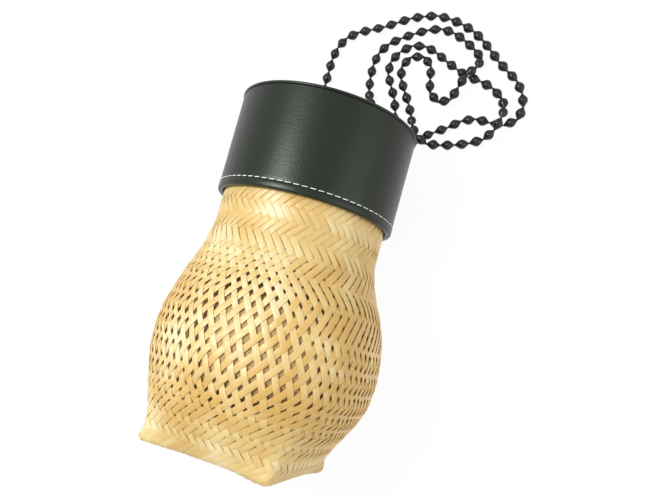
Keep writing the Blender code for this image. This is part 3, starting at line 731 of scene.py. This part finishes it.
def smooth_step(value, start=0.0, end=1.0):
    """0 up to the start, 1 from the end on, and a smooth rise between them."""
    t = np.clip((value - start) / (end - start), 0.0, 1.0)
    return t * t * (3 - 2 * t)


def left_on_top(row, turn):
    """Whether the strip that leans left is on top, where two strips cross at a row and a turn."""
    plain_from, plain_to = 0.0, 0.0
    for lowest, first_turn, last_turn in PLAIN_WEAVE:
        if row >= lowest:
            plain_from, plain_to = first_turn, last_turn
    if plain_from <= turn % 1.0 < plain_to:
        return row % 2 == 1
    reached = 0
    for index, count in enumerate(FLOATS):
        reached += count
        if row < reached:
            return index % 2 == 1
    return True


def float_heights(rows, turns_at_rows, leans_left):
    """How far a strip lies out from the weave's middle at fractional rows of crossings.

    1 is on top of the other strips and -1 is under them. The second value is how far a float bulges.
    """
    lowest = int(np.floor(rows[0]))
    whole = np.arange(lowest, int(np.ceil(rows[-1])) + 2)
    levels = np.array([
        1.0 if left_on_top(max(row, 0), turn) == leans_left else -1.0
        for row, turn in zip(whole, turns_at_rows(whole))
    ])
    edges = [0, *(np.flatnonzero(np.diff(levels)) + 1), len(levels)]
    starts = np.zeros(len(levels))
    counts = np.zeros(len(levels))
    for first, after in zip(edges, edges[1:]):
        starts[first:after] = first
        counts[first:after] = after - first
    longest = max(FLOATS)
    below = np.floor(rows).astype(int) - lowest
    # A strip crosses over between 0.15 and 0.85 of the way from one row to the next.
    step = smooth_step(rows - lowest - below, 0.15, 0.85)
    heights = levels[below] + (levels[below + 1] - levels[below]) * step
    nearest = np.floor(rows + 0.5).astype(int) - lowest
    share = np.clip((rows - lowest + 0.5 - starts[nearest]) / counts[nearest], 0.0, 1.0)
    bulges = np.sin(math.pi * share) * np.minimum(counts[nearest], longest) / longest
    return heights, np.where(levels[nearest] > 0, bulges, 0.0)


def running_sum(steps):
    """How far a walk has come before its first step and after each one."""
    return np.concatenate(([0.0], np.cumsum(steps)))


def ring_faces(rings, sides, first=0):
    """The faces between rings of vertices that follow one another from a first vertex on."""
    low = first + np.arange(rings - 1)[:, None] * sides
    here = np.arange(sides)
    after = (here + 1) % sides
    faces = np.stack([low + here, low + after, low + sides + after, low + sides + here], axis=2)
    return faces.reshape(-1, 4).tolist()


def ribbons(name, strips):
    """One mesh of flat strips with thinned edges. Each strip is (centres, outward, half width, tint)."""
    basket = settings().basket
    thick = basket.strip_thickness
    edge = basket.strip_edge
    # A strip's section: shares of its half width, and how deep each corner lies below its face.
    section = ((-1.0, -edge), (-0.72, 0.0), (0.72, 0.0), (1.0, -edge), (0.94, -thick), (-0.94, -thick))
    count = len(section)
    points, faces, caps, places, tints = [], [], [], [], []
    first = 0
    for centres, outward, half_width, tint in strips:
        steps = len(centres)
        sideways = np.cross(outward, np.gradient(centres, axis=0))
        sideways /= np.linalg.norm(sideways, axis=1)[:, None]
        ring = np.zeros((steps, count, 3))
        for corner, (share, depth) in enumerate(section):
            ring[:, corner] = centres + sideways * (share * half_width)[:, None] + outward * depth
        points.append(ring.reshape(-1, 3))
        faces += ring_faces(steps, count, first)
        last = first + (steps - 1) * count
        caps += [list(reversed(range(first, first + count))), list(range(last, last + count))]
        # The tint also moves each strip's UV map, so that no two strips have the same fibres.
        place = np.zeros((steps, count, 2))
        walked = running_sum(np.linalg.norm(np.diff(centres, axis=0), axis=1))
        place[:, :, 0] = walked[:, None] + tint * 7.0
        place[:, :, 1] = np.array([share for share, _ in section]) * basket.strip_width / 2 + tint * 3.0
        places.append(place.reshape(-1, 2))
        tints.append(np.full(steps * count, tint))
        first += steps * count
    mesh = bpy.data.meshes.new(name)
    mesh.from_pydata(np.concatenate(points).tolist(), [], faces + caps)
    layer = mesh.uv_layers.new(name="UVMap")
    corners = np.zeros(len(mesh.loops), np.int32)
    mesh.loops.foreach_get("vertex_index", corners)
    layer.data.foreach_set("uv", np.concatenate(places)[corners].astype(np.float32).ravel())
    tint_layer = mesh.attributes.new("tint", "FLOAT", "POINT")
    tint_layer.data.foreach_set("value", np.concatenate(tints).astype(np.float32))
    piece = new_object(name, mesh)
    face_outward()
    bpy.ops.object.shade_smooth_by_angle(angle=math.radians(30.0))
    return piece


def at_shares(table, wall):
    """A table of shares of the way up the basket as smooth values at the wall's own rows."""
    height = settings().basket.height
    places = [share * height for share, _ in table]
    return smooth_through(places, [value for _, value in table], np.maximum(wall.along, 0.0))


def wall_strips(wall, leans_left):
    """The strips of the wall that lean one way, from under the base up to the rim."""
    basket = settings().basket
    draws = random.Random(21 if leans_left else 34)
    way = 1.0 if leans_left else -1.0
    slope = np.tan(np.radians(at_shares(STRIP_LEAN_SHARES, wall)))
    per_length = slope / wall.girth
    risen = np.diff(wall.walked)
    turned_by = running_sum((per_length[1:] + per_length[:-1]) / 2 * risen)
    turned_by -= np.interp(0.0, wall.along, turned_by)
    crossings = turned_by * 2 * basket.strips

    # Cross-sections lie evenly along a strip, whose length grows with its lean.
    lengths = running_sum(np.hypot(1.0, (slope[1:] + slope[:-1]) / 2) * risen)
    count = round(lengths[-1] / basket.strip_step) + 1
    stations = np.interp(np.linspace(0.0, lengths[-1], count), lengths, wall.along)
    rows = np.interp(stations, wall.along, crossings)
    walked = np.interp(stations, wall.along, wall.walked)
    girth = np.interp(stations, wall.along, wall.girth)
    spread = np.interp(stations, wall.along, at_shares(SPREAD_SHARES, wall)) * basket.spread
    widest = np.interp(stations, wall.along, at_shares(SPREAD_TURN_SHARES, wall))
    twist = np.interp(stations, wall.along, at_shares(TWIST_SHARES, wall)) * basket.twist
    # The strips are beaten close together and flat where the wall starts.
    firmness = FIRM_SHARE + (1.0 - FIRM_SHARE) * smooth_step(stations, 0.0, FIRM_HEIGHT)
    # They are spread four times on the way round, in the middle of each face.
    faces = 4 * math.tau
    strips = []
    for index in range(basket.strips):
        def turns_at_rows(whole):
            lean = way * whole / (2 * basket.strips)
            return (index + 0.5) / basket.strips + lean + np.interp(whole, rows, twist)

        phase = draws.uniform(0.0, math.tau)
        heights, bulges = float_heights(rows, turns_at_rows, leans_left)
        depth = ((heights - 1.0) * basket.strip_lift + bulges * basket.strip_bulge) * firmness
        plain = (index + 0.5) / basket.strips + way * rows / (2 * basket.strips) + twist
        turns = plain + spread * np.sin(faces * (plain - widest)) / faces
        spacing = girth / basket.strips * (1 + spread * np.cos(faces * (plain - widest)))
        room = spacing / np.hypot(1.0, np.gradient(turns, walked) * girth)
        own_width = basket.strip_width * draws.uniform(0.94, 1.06)
        width = np.minimum(own_width, room - basket.strip_gap * firmness)
        for turn, station, turn_reach, station_reach, share in SLITS:
            near = ((turns + 0.5 - turn) % 1.0 - 0.5) / turn_reach
            width *= 1.0 - share * np.exp(-(near**2) - ((stations - station) / station_reach) ** 2)
        # A strip strays further where it has more room, up to a gap of 0.4 of its width.
        loose = np.clip((room - width) / basket.strip_width, 0.0, 0.4) / 0.4
        sway = draws.uniform(0.6, 1.4) * basket.wander * (0.2 + 0.8 * loose)
        turns += sway * (np.sin(rows * 0.31 + phase) + 0.4 * np.sin(rows * 0.83 + phase * 2)) / girth
        outward = wall.outward(stations, turns)
        centres = wall.points(stations, turns) + outward * depth[:, None]
        strips.append((centres, outward, width / 2, draws.random()))
    return strips


def base_strips(first_way):
    """The strips of the square base that run one way, at 45 degrees to its edges."""
    basket = settings().basket
    draws = random.Random(55 if first_way else 89)
    half = basket.base_half - 0.6 * basket.underlap
    pitch = basket.base_half * 8 / basket.strips
    count = basket.strips // 2
    strips = []
    for index in range(count):
        offset = (index - (count - 1) / 2) * pitch
        reach = 2 * half - abs(offset)
        # A strip in a corner that is too short to be held is left out.
        if reach < 2 * pitch:
            continue
        steps = max(6, int(reach / pitch * 2) * 3)
        walk = np.linspace(-reach / 2, reach / 2, steps)
        x = offset / 2 + walk
        z = offset / 2 - walk
        if not first_way:
            z = -z
        across = (x - z) / pitch if first_way else (x + z) / pitch
        # Two over and two under: where the strips of one way are out, those of the other are in. The wave
        # is cut off at less than half its height, so that a float is flat.
        wave = np.sin(math.pi * (across - 0.5 + index) / 2)
        rise = np.clip(wave * 2.2, -1, 1) * (1.0 if first_way else -1.0)
        depth = basket.strip_thickness * 0.55 * (1 - rise)
        centres = np.stack([x, depth, z], axis=1)
        outward = np.tile(np.array([0.0, -1.0, 0.0]), (steps, 1))
        half_width = np.full(steps, basket.strip_width / 2 * draws.uniform(0.95, 1.05))
        strips.append((centres, outward, half_width, draws.random()))
    return strips


def pouch_mesh(wall):
    """The cloth pouch: a slack sack that hangs inside the weave, with soft upright folds."""
    basket = settings().basket
    sides = 144
    rows = 70
    low = POUCH_LOW.y
    high = POUCH_HIGH.y
    clear = basket.strip_thickness * 2 + 0.3 * MM
    turns = np.arange(sides) / sides
    round_it = turns * math.tau
    middle, whole, gone = PRESSED_TURNS
    beside = 1.0 - smooth_step(np.abs(turns - middle), whole, gone)
    points = []
    for k in range(rows + 1):
        share = k / rows
        station = low + (high - low) * share
        # The pouch hangs full in its middle and is tight at its bottom and under the rim. Five, nine and
        # seventeen folds go round it and wander sideways on their way up.
        full = min(share * 1.1, 1.0)
        fullness = math.sin(math.pi * full) ** 0.5 if 0.0 < full < 1.0 else 0.0
        fold = np.sin(round_it * 9 + 2.2 * math.sin(share * 5.0)) * 0.5
        fold += np.sin(round_it * 17 + 4.0 * share + 1.0) * 0.3
        fold += np.sin(round_it * 5 + 9.0 * share) * 0.4
        depth = clear + basket.pouch_slack * fullness * (0.6 + 0.5 * fold)
        off = (station - basket.belly_station - PRESSED_RISE) / PRESSED_REACH
        depth += basket.pouch_fall * fullness * (1.0 - math.exp(-(off**4)) * beside)
        stations = np.full(sides, station)
        ring = wall.points(stations, turns) - wall.outward(stations, turns) * depth[:, None]
        ring[:, 1] = station
        points.extend(ring.tolist())
    points.append((0.0, low, 0.0))
    bottom = [(c, len(points) - 1, (c + 1) % sides) for c in range(sides)]
    mesh = bpy.data.meshes.new("pouch")
    mesh.from_pydata(points, [], ring_faces(rows + 1, sides) + bottom)
    piece = new_object("pouch", mesh)
    face_outward()
    cloth = piece.modifiers.new("cloth", "SOLIDIFY")
    cloth.thickness = basket.pouch_cloth
    cloth.offset = -1.0
    bpy.ops.object.modifier_apply(modifier=cloth.name)
    bpy.ops.object.shade_smooth()
    return piece


def smooth_curve(points):
    """Points close together on a smooth curve through the points given."""
    padded = [2 * points[0] - points[1], *points, 2 * points[-1] - points[-2]]
    found = []
    for before, here, after, beyond in zip(padded, padded[1:], padded[2:], padded[3:]):
        for step in range(CURVE_STEPS):
            t = step / CURVE_STEPS
            straight = 2 * here + (after - before) * t
            bend = (2 * before - 5 * here + 4 * after - beyond) * t * t
            twist = (3 * here - before - 3 * after + beyond) * t * t * t
            found.append((straight + bend + twist) / 2)
    return [*found, points[-1]]


def evenly(points, pitch):
    """Points on the same line, about a pitch apart, from its start to its end."""
    reached = [0.0]
    for a, b in zip(points, points[1:]):
        reached.append(reached[-1] + (b - a).length)
    count = round(reached[-1] / pitch)
    found = []
    index = 0
    for k in range(count):
        target = reached[-1] * k / count
        while reached[index + 1] < target:
            index += 1
        share = (target - reached[index]) / (reached[index + 1] - reached[index])
        found.append(points[index].lerp(points[index + 1], share))
    return [*found, points[-1]]


def eyelet_centres():
    """The middles of the two eyelets across the axis, left and then right."""
    places = []
    for side in ("left", "right"):
        low, high = bag_box(f"eyelet_{side}")
        places.append(Vector(((low.x + high.x) / 2, 0.0, (low.z + high.z) / 2)))
    return places


def copies_joined(name, template, places):
    """Copies of a template's mesh at each place, joined into one object. The template is removed."""
    copies = []
    for place in places:
        copies.append(new_object(name, template.data.copy()))
        copies[-1].data.transform(place)
    bpy.data.objects.remove(template, do_unlink=True)
    select_only(*copies)
    bpy.ops.object.join()
    copies[0].name = name
    return copies[0]


class BAG_OT_weave(bpy.types.Operator):
    """Weave the basket's wall and base from bamboo strips"""

    bl_idname = "bag.weave"
    bl_label = "Weave the basket"

    def execute(self, context):
        colours = settings().colours
        wall = Wall()
        # The strips that lean left get lighter colour stops than those that lean right. This is a painted
        # sheen: the lighter family stands in for the glint along fibres that face the lamp.
        pale = bamboo_strips(
            "split bamboo, lighter for painted sheen",
            (0.27, colours.straw),
            (0.66, colours.honey),
            (1.0, colours.amber),
        )
        golden = bamboo_strips(
            "split bamboo, darker for painted sheen",
            (0.13, colours.straw),
            (0.5, colours.honey),
            (0.9, colours.amber),
        )
        left = ribbons("wall_strips_left", wall_strips(wall, True))
        finish_piece(left, pale, "basket", "basket_shell")
        right = ribbons("wall_strips_right", wall_strips(wall, False))
        finish_piece(right, golden, "basket", "basket_shell")
        finish_piece(ribbons("base_strips_left", base_strips(True)), pale, "basket")
        finish_piece(ribbons("base_strips_right", base_strips(False)), golden, "basket")
        return {"FINISHED"}


class BAG_OT_pouch(bpy.types.Operator):
    """Hang the cloth pouch inside the basket and bind the rim"""

    bl_idname = "bag.pouch"
    bl_label = "Line the basket"

    def execute(self, context):
        basket = settings().basket
        colours = settings().colours
        cotton = woven_cloth("unbleached cotton lining", colours.pouch, 0.8 * MM)
        finish_piece(pouch_mesh(Wall()), cotton, "basket", "cloth_pouch")
        low = BINDING_LOW.y
        high = BINDING_HIGH.y
        outer = BINDING_HIGH.x
        inner = outer - basket.rim_depth
        tape = basket.tape
        turn = basket.rim_depth / 2
        crown = high - turn
        rows = [(low, outer), *arc_rows(crown, outer - turn, turn, 0.0, 180.0, 14), (low, inner)]
        rows += [(low, inner + tape), *arc_rows(crown, outer - turn, turn - tape, 180.0, 0.0, 14)]
        rows += [(low, outer - tape)]
        binding = turned("binding", rows, 96)
        tape_look = woven_cloth("cotton binding tape", colours.tape, 0.7 * MM)
        finish_piece(binding, tape_look, "basket", "rim_binding")
        return {"FINISHED"}


class BAG_OT_lid(bpy.types.Operator):
    """Make the leather lid with its hem, top, piping and lining"""

    bl_idname = "bag.lid"
    bl_label = "Make the leather lid"

    def execute(self, context):
        lid = settings().lid
        colours = settings().colours
        leather = black_leather("black cowhide, satin", colours.leather)
        edge = black_leather("black cowhide, painted edge", colours.leather_edge)
        foot = BAND_LOW.y - lid.hem_drop
        head = BAND_HIGH.y
        head_radius = BAND_HIGH.x
        stitch_station = (HEM_LOW.y + HEM_HIGH.y) / 2

        def outer_radius(station):
            share = (station - foot) / (head - foot)
            plain = lid.foot_radius + (head_radius - lid.foot_radius) * share
            # The stitches pull the leather in over 0.9 mm either way, and below them it swells over 2.2 mm.
            from_stitches = (station - stitch_station) / (0.9 * MM)
            from_swell = (station - (foot + stitch_station) / 2) / (2.2 * MM)
            pull = lid.groove * math.exp(-(from_stitches**2))
            return plain - pull + lid.hem_swell * math.exp(-(from_swell**2))

        # From 4 mm above the stitches down to the lip the rows lie closer together.
        close = stitch_station + 4 * MM
        lip = foot + lid.foot_round
        stations = [*np.linspace(head, close, 31), *np.linspace(close, lip, 21)[1:]]
        rows = [(station, outer_radius(station)) for station in stations]
        # Inside, the leather is turned up as a hem, whose cut edge is skived thinner.
        inner = lid.foot_radius - lid.hem_depth
        turn_in = lid.foot_inner_round
        hem_top = foot + lid.fold_height
        fold = 0.9 * MM
        rows += arc_rows(lip, outer_radius(lip) - lid.foot_round, lid.foot_round, 0, -90, 8)[1:]
        rows += arc_rows(foot + turn_in, inner + turn_in, turn_in, -90, -180, 6)
        rows += [(hem_top, inner), (hem_top, inner + fold), (foot + lid.leather, inner + fold)]
        rows += [(foot + lid.leather, lid.foot_radius - lid.leather), (head, head_radius - lid.leather)]
        band = turned("leather_band", rows, 160)
        roughened(band, 45 * MM, lid.unevenness)
        finish_piece(band, leather, "lid", "lid_band")

        disc_radius = TOP_HIGH.x
        edge_round = 0.4 * MM
        rows = [(TOP_LOW.y, disc_radius)]
        rows += arc_rows(TOP_HIGH.y - edge_round, disc_radius - edge_round, edge_round, 0, 90, 4)
        rows += [(TOP_HIGH.y, disc_radius * share) for share in (0.9, 0.75, 0.6, 0.45, 0.3, 0.15, 0.02)]
        finish_piece(turned("leather_top", rows, 128, capped=True), leather, "lid", "lid_top")

        size = (PIPING_HIGH.y - PIPING_LOW.y) / 2
        rows = arc_rows(PIPING_LOW.y + size, PIPING_HIGH.x - size, size, 0, 330, 11)
        finish_piece(turned("leather_piping", rows, 160), edge, "lid", "lid_piping")

        low = LINING_LOW.y
        high = LINING_HIGH.y
        outer = LINING_HIGH.x
        middle = outer * 0.02
        cloth = 0.7 * MM
        rows = [(high, middle), (high, outer), (low, outer), (low, outer - cloth)]
        rows += [(high - 3 * cloth, outer - cloth), (high - cloth, outer - 3 * cloth)]
        rows += [(high - cloth, middle)]
        lining = woven_cloth("black cotton lining", colours.black, 0.7 * MM)
        finish_piece(turned("lid_cloth", rows, 96, capped=True), lining, "lid", "lid_lining")
        card = pressed_card("grey pulp board")
        for node in ("lid_top_board", "lid_stiffener"):
            wear(frame["nodes"][node], card)
        return {"FINISHED"}


class BAG_OT_stitches(bpy.types.Operator):
    """Sew the white stitches round the hem and the black ones down the seam"""

    bl_idname = "bag.stitches"
    bl_label = "Sew the lid"

    def execute(self, context):
        lid = settings().lid
        colours = settings().colours
        ply = 0.5 * MM
        white = twisted_thread("white polyester thread", colours.thread, 0.6, ply)
        black = twisted_thread("black polyester thread", colours.black, 0.6, ply)

        def stitch():
            """One stitch: a ball whose two halves are pulled apart into a long bead of thread."""
            select_only()
            bpy.ops.mesh.primitive_uv_sphere_add(segments=8, ring_count=6, radius=lid.stitch_thickness / 2)
            piece = bpy.context.object
            stretch = (lid.stitch_length - lid.stitch_thickness) / 2
            for side in (-1.0, 1.0):
                bpy.ops.object.mode_set(mode="EDIT")
                bpy.ops.mesh.select_all(action="DESELECT")
                bpy.ops.object.mode_set(mode="OBJECT")
                for vertex in piece.data.vertices:
                    vertex.select = vertex.co.z * side > 0.01 * MM
                bpy.ops.object.mode_set(mode="EDIT")
                bpy.ops.transform.translate(value=(0.0, 0.0, side * stretch))
                bpy.ops.object.mode_set(mode="OBJECT")
            bpy.ops.object.shade_smooth()
            return piece

        # The hem's stitches lean a little out of their line. They are sunk half a millimetre deep.
        out = Matrix.Translation((HEM_HIGH.x - 0.5 * MM, (HEM_LOW.y + HEM_HIGH.y) / 2, 0.0))
        slanted = out @ Matrix.Rotation(math.radians(3.0), 4, "X")
        angles = [math.tau * (k + 0.5) / lid.stitches for k in range(lid.stitches)]
        places = [Matrix.Rotation(-angle, 4, "Y") @ slanted for angle in angles]
        finish_piece(copies_joined("hem_stitches", stitch(), places), white, "lid", "hem_stitching")

        seam_angle = math.atan2(SEAM_LOW.z + SEAM_HIGH.z, SEAM_LOW.x + SEAM_HIGH.x)
        to_seam = Matrix.Rotation(-seam_angle, 4, "Y")
        upright = Matrix.Rotation(math.pi / 2, 4, "X")
        places = []
        for k in range(int((SEAM_HIGH.y - SEAM_LOW.y) / lid.seam_pitch) + 1):
            along = SEAM_LOW.y + lid.stitch_length / 2 + k * lid.seam_pitch
            share = (along - BAND_LOW.y) / (BAND_HIGH.y - BAND_LOW.y)
            radius = lid.foot_radius + (BAND_HIGH.x - lid.foot_radius) * share
            places.append(to_seam @ Matrix.Translation((radius, along, 0.0)) @ upright)
        finish_piece(copies_joined("seam_stitches", stitch(), places), black, "lid", "seam_stitching")
        return {"FINISHED"}


class BAG_OT_eyelets(bpy.types.Operator):
    """Set the two eyelets and their washers in the lid's top"""

    bl_idname = "bag.eyelets"
    bl_label = "Set the eyelets"

    def execute(self, context):
        lid = settings().lid
        metal = enamelled_metal("black enamelled brass")
        roll = 0.6 * MM
        barrel = lid.bore + 0.8 * MM
        for side, centre in zip(("left", "right"), eyelet_centres()):
            low, high = bag_box(f"eyelet_{side}")
            flange = (high.x - low.x) / 2
            under = high.y - roll
            rows = [(low.y, lid.bore), (low.y, barrel), (under, barrel), (under, flange - 0.2 * MM)]
            rows += arc_rows(high.y - roll / 2, flange - roll / 2, roll / 2, 0, 90, 4)
            rows += arc_rows(under, lid.bore + roll, roll, 90, 180, 5)
            eyelet = turned(f"brass_eyelet_{side}", rows, 32)
            eyelet.data.transform(Matrix.Translation(centre))
            finish_piece(eyelet, metal, "lid", f"eyelet_{side}")
            low, high = bag_box(f"eyelet_washer_{side}")
            size = (high.y - low.y) / 2
            edge = arc_rows(low.y + size, (high.x - low.x) / 2 - size, size, -90, 90, 6)
            rows = [(low.y, lid.washer_bore), *edge, (high.y, lid.washer_bore)]
            washer = turned(f"brass_washer_{side}", rows, 32)
            washer.data.transform(Matrix.Translation(centre))
            finish_piece(washer, metal, "lid", f"eyelet_washer_{side}")
        return {"FINISHED"}


class BAG_OT_strap(bpy.types.Operator):
    """String the beads on their thread along the strap's route"""

    bl_idname = "bag.strap"
    bl_label = "String the strap"

    def execute(self, context):
        strap = settings().strap
        colours = settings().colours
        # The thread starts inside the lid, and its beads start 1 mm above the eyelets.
        low, high = bag_box("eyelet_left")
        insides = [BAG_PLACE @ (centre + Vector((0.0, low.y, 0.0))) for centre in eyelet_centres()]
        ends = [BAG_PLACE @ (centre + Vector((0.0, high.y + 1 * MM, 0.0))) for centre in eyelet_centres()]
        route = [ends[0], *[Vector((*point, LYING_MM)[:3]) * MM for point in ROUTE_MM], ends[1]]
        joints = evenly(smooth_curve(route), strap.bead_pitch)

        curve = bpy.data.curves.new("strap_thread", "CURVE")
        curve.dimensions = "3D"
        curve.bevel_depth = strap.thread / 2
        curve.bevel_resolution = 2
        curve.use_fill_caps = True
        spline = curve.splines.new("POLY")
        line = [insides[0], *joints, insides[1]]
        spline.points.add(len(line) - 1)
        for slot, point in zip(spline.points, line):
            slot.co = (*point, 1.0)
        thread = new_object("strap_thread", curve)
        curve.materials.append(twisted_thread("black waxed cotton cord", colours.black, 0.6, 0.6 * MM))
        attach(thread, "lid")
        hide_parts("bead_strap")

        # A bead is a spindle, pointed a little more towards its far end: shares of its length and radius.
        profile = ((-0.5, 0.22), (-0.42, 0.35), (-0.3, 0.64), (-0.17, 0.9), (-0.04, 1.0))
        profile += ((0.1, 0.95), (0.24, 0.74), (0.37, 0.44), (0.45, 0.3), (0.5, 0.2))
        rows = [(along * strap.bead_length, share * strap.bead / 2) for along, share in profile]
        bead = turned("bead", rows, 14, capped=True)

        draws = random.Random(13)
        places = []
        for start, end in zip(joints, joints[1:]):
            along = end - start
            turn = along.to_track_quat("Y", "Z").to_matrix().to_4x4()
            size = draws.uniform(0.95, 1.04)
            scale = Matrix.Diagonal((size, draws.uniform(0.97, 1.02), size, 1.0))
            spin = Matrix.Rotation(draws.uniform(0.0, math.tau), 4, "Y")
            places.append(Matrix.Translation((start + end) / 2) @ turn @ spin @ scale)
        beads = copies_joined("strap_beads", bead, places)
        wear(beads, lacquered_wood("black lacquered wood"))
        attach(beads, "lid")
        return {"FINISHED"}


def cord_between(name, start, end, diameter):
    """A cord that leaves a knot, bends over and runs straight up the axis to its end."""
    bend = end - Vector((0.0, 3 * MM, 0.0))
    line = smooth_curve([start, (start + bend) / 2, bend, end])
    sides = 8
    points = []
    for before, here, after in zip([line[0], *line], line, [*line[1:], line[-1]]):
        turn = (after - before).to_track_quat("Z", "Y").to_matrix()
        for k in range(sides):
            angle = math.tau * k / sides
            points.append(here + turn @ Vector((math.cos(angle), math.sin(angle), 0.0)) * diameter / 2)
    last = len(points) - sides
    caps = [tuple(reversed(range(sides))), tuple(range(last, last + sides))]
    mesh = bpy.data.meshes.new(name)
    mesh.from_pydata(points, [], ring_faces(len(line), sides) + caps)
    mesh.shade_smooth()
    return new_object(name, mesh)


class BAG_OT_inside(bpy.types.Operator):
    """Tie the strap's tails to the rim and finish the hoops"""

    bl_idname = "bag.inside"
    bl_label = "Tie the tails"

    def execute(self, context):
        colours = settings().colours
        cord_look = twisted_thread("black inner cord", colours.black, 0.7, 0.6 * MM)
        hoop_look = bamboo_strips(
            "split bamboo hoop",
            (0.0, colours.honey),
            (0.6, colours.amber),
            (1.0, colours.node_brown),
        )
        for side, centre in zip(("left", "right"), eyelet_centres()):
            knot = f"rim_knot_{side}"
            wear(frame["nodes"][knot], cord_look)
            low, high = bag_box(knot)
            start = (low + high) / 2
            end = centre + Vector((0.0, bag_box(f"eyelet_{side}")[0].y, 0.0))
            tail = cord_between(f"cord_tail_{side}", start, end, settings().strap.thread)
            tail.data.transform(BAG_PLACE)
            wear(tail, cord_look)
            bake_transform(tail)
            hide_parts(f"strap_tail_{side}")
        for node in ("rim_hoop_outer", "rim_hoop_inner"):
            wear(frame["nodes"][node], hoop_look)
        return {"FINISHED"}


def white_rays(tree):
    """1 for the rays that show a surface or a reflection, which see a white background, and 0 for light."""
    rays = add_node(tree, "ShaderNodeLightPath").outputs
    gloss = {"operation": "MAXIMUM", 0: rays["Is Glossy Ray"], 1: rays["Is Transmission Ray"]}
    seen = {"operation": "MAXIMUM", 0: rays["Is Camera Ray"], 1: add_node(tree, "ShaderNodeMath", gloss)}
    return add_node(tree, "ShaderNodeMath", seen)


class BAG_OT_stage(bpy.types.Operator):
    """Set the floor, the lights, the world and the camera"""

    bl_idname = "bag.stage"
    bl_label = "Set the stage"

    def execute(self, context):
        stage = settings().stage
        scene = context.scene
        white = linear(settings().colours.backdrop)
        # The floor lies a hair under the bag, so that the two don't share a surface where they touch.
        select_only()
        bpy.ops.mesh.primitive_plane_add(size=30.0, location=(0.0, 0.0, -0.3 * MM))
        floor = context.object
        floor.name = "floor"
        floor_look, tree, shader = new_material("white floor")
        set_node(shader, {"Base Color": white, "Roughness": 0.9, "Specular IOR Level": 0.0})
        glow = add_node(tree, "ShaderNodeEmission", {"Color": white, "Strength": 1.0})
        # The floor shows as 95 percent plain white, and the rest keeps the bag's faint shadow.
        share = add_node(tree, "ShaderNodeMath", {"operation": "MULTIPLY", 0: white_rays(tree), 1: 0.95})
        both = add_node(tree, "ShaderNodeMixShader", {0: share, 1: shader, 2: glow})
        set_node(tree.nodes["Material Output"], {"Surface": both})
        floor.data.materials.append(floor_look)

        # The world lights the bag at about half the strength at which it shows.
        scene.world = bpy.data.worlds.new("studio")
        scene.world.use_nodes = True
        sky = scene.world.node_tree
        values = {"Value": white_rays(sky), "To Min": 0.52, "To Max": 1.0}
        strength = add_node(sky, "ShaderNodeMapRange", values)
        set_node(sky.nodes["Background"], {"Color": white, "Strength": strength})

        # A small lamp over the bag's left side gives its glare, and a wide one fills in from the right.
        middle = Vector((0.0, 0.0, 0.06))
        for name, place, size, power in (
            ("key", (-0.29, 0.1, 0.96), 0.36, 7.1),
            ("fill", (0.9, 0.0, 0.4), 0.8, 2.1),
        ):
            lamp = bpy.data.lights.new(name, "AREA")
            lamp.shape = "DISK"
            lamp.size = size
            lamp.energy = power
            light = new_object(name, lamp)
            light.location = place
            light.rotation_euler = (Vector(place) - middle).to_track_quat("Z", "Y").to_euler()

        camera = new_object("camera", bpy.data.cameras.new("camera"))
        place = Vector(stage.camera_place)
        back = (place - Vector(stage.camera_aim)).normalized()
        right = Vector(stage.camera_up).cross(back).normalized()
        up = back.cross(right)
        camera.matrix_world = Matrix.Translation(place) @ Matrix((right, up, back)).transposed().to_4x4()
        camera.data.lens = stage.lens
        camera.data.sensor_width = 36.0
        scene.camera = camera
        scene.view_settings.view_transform = "Standard"
        return {"FINISHED"}


class BAG_PT_panel(bpy.types.Panel):
    """Lists the bag's steps in the sidebar"""

    bl_idname = "BAG_PT_panel"
    bl_label = "Basket Bag"
    bl_space_type = "VIEW_3D"
    bl_region_type = "UI"
    bl_category = "Basket Bag"

    def draw(self, context):
        for step in STEPS:
            self.layout.operator(step.bl_idname)


GROUPS = (BasketSettings, LidSettings, StrapSettings, ColourSettings, StageSettings, BagSettings)
STEPS = (
    BAG_OT_stage,
    BAG_OT_strap,
    BAG_OT_weave,
    BAG_OT_pouch,
    BAG_OT_lid,
    BAG_OT_stitches,
    BAG_OT_eyelets,
    BAG_OT_inside,
)


def register():
    for group in (*GROUPS, *STEPS, BAG_PT_panel):
        bpy.utils.register_class(group)
    bpy.types.Scene.basket_bag = bpy.props.PointerProperty(type=BagSettings)


def unregister():
    del bpy.types.Scene.basket_bag
    for group in reversed((*GROUPS, *STEPS, BAG_PT_panel)):
        bpy.utils.unregister_class(group)


def main():
    register()
    bpy.ops.bag.stage()
    bpy.ops.bag.strap()
    bpy.ops.bag.weave()
    bpy.ops.bag.pouch()
    bpy.ops.bag.lid()
    bpy.ops.bag.stitches()
    bpy.ops.bag.eyelets()
    bpy.ops.bag.inside()


if __name__ == "__main__":
    main()
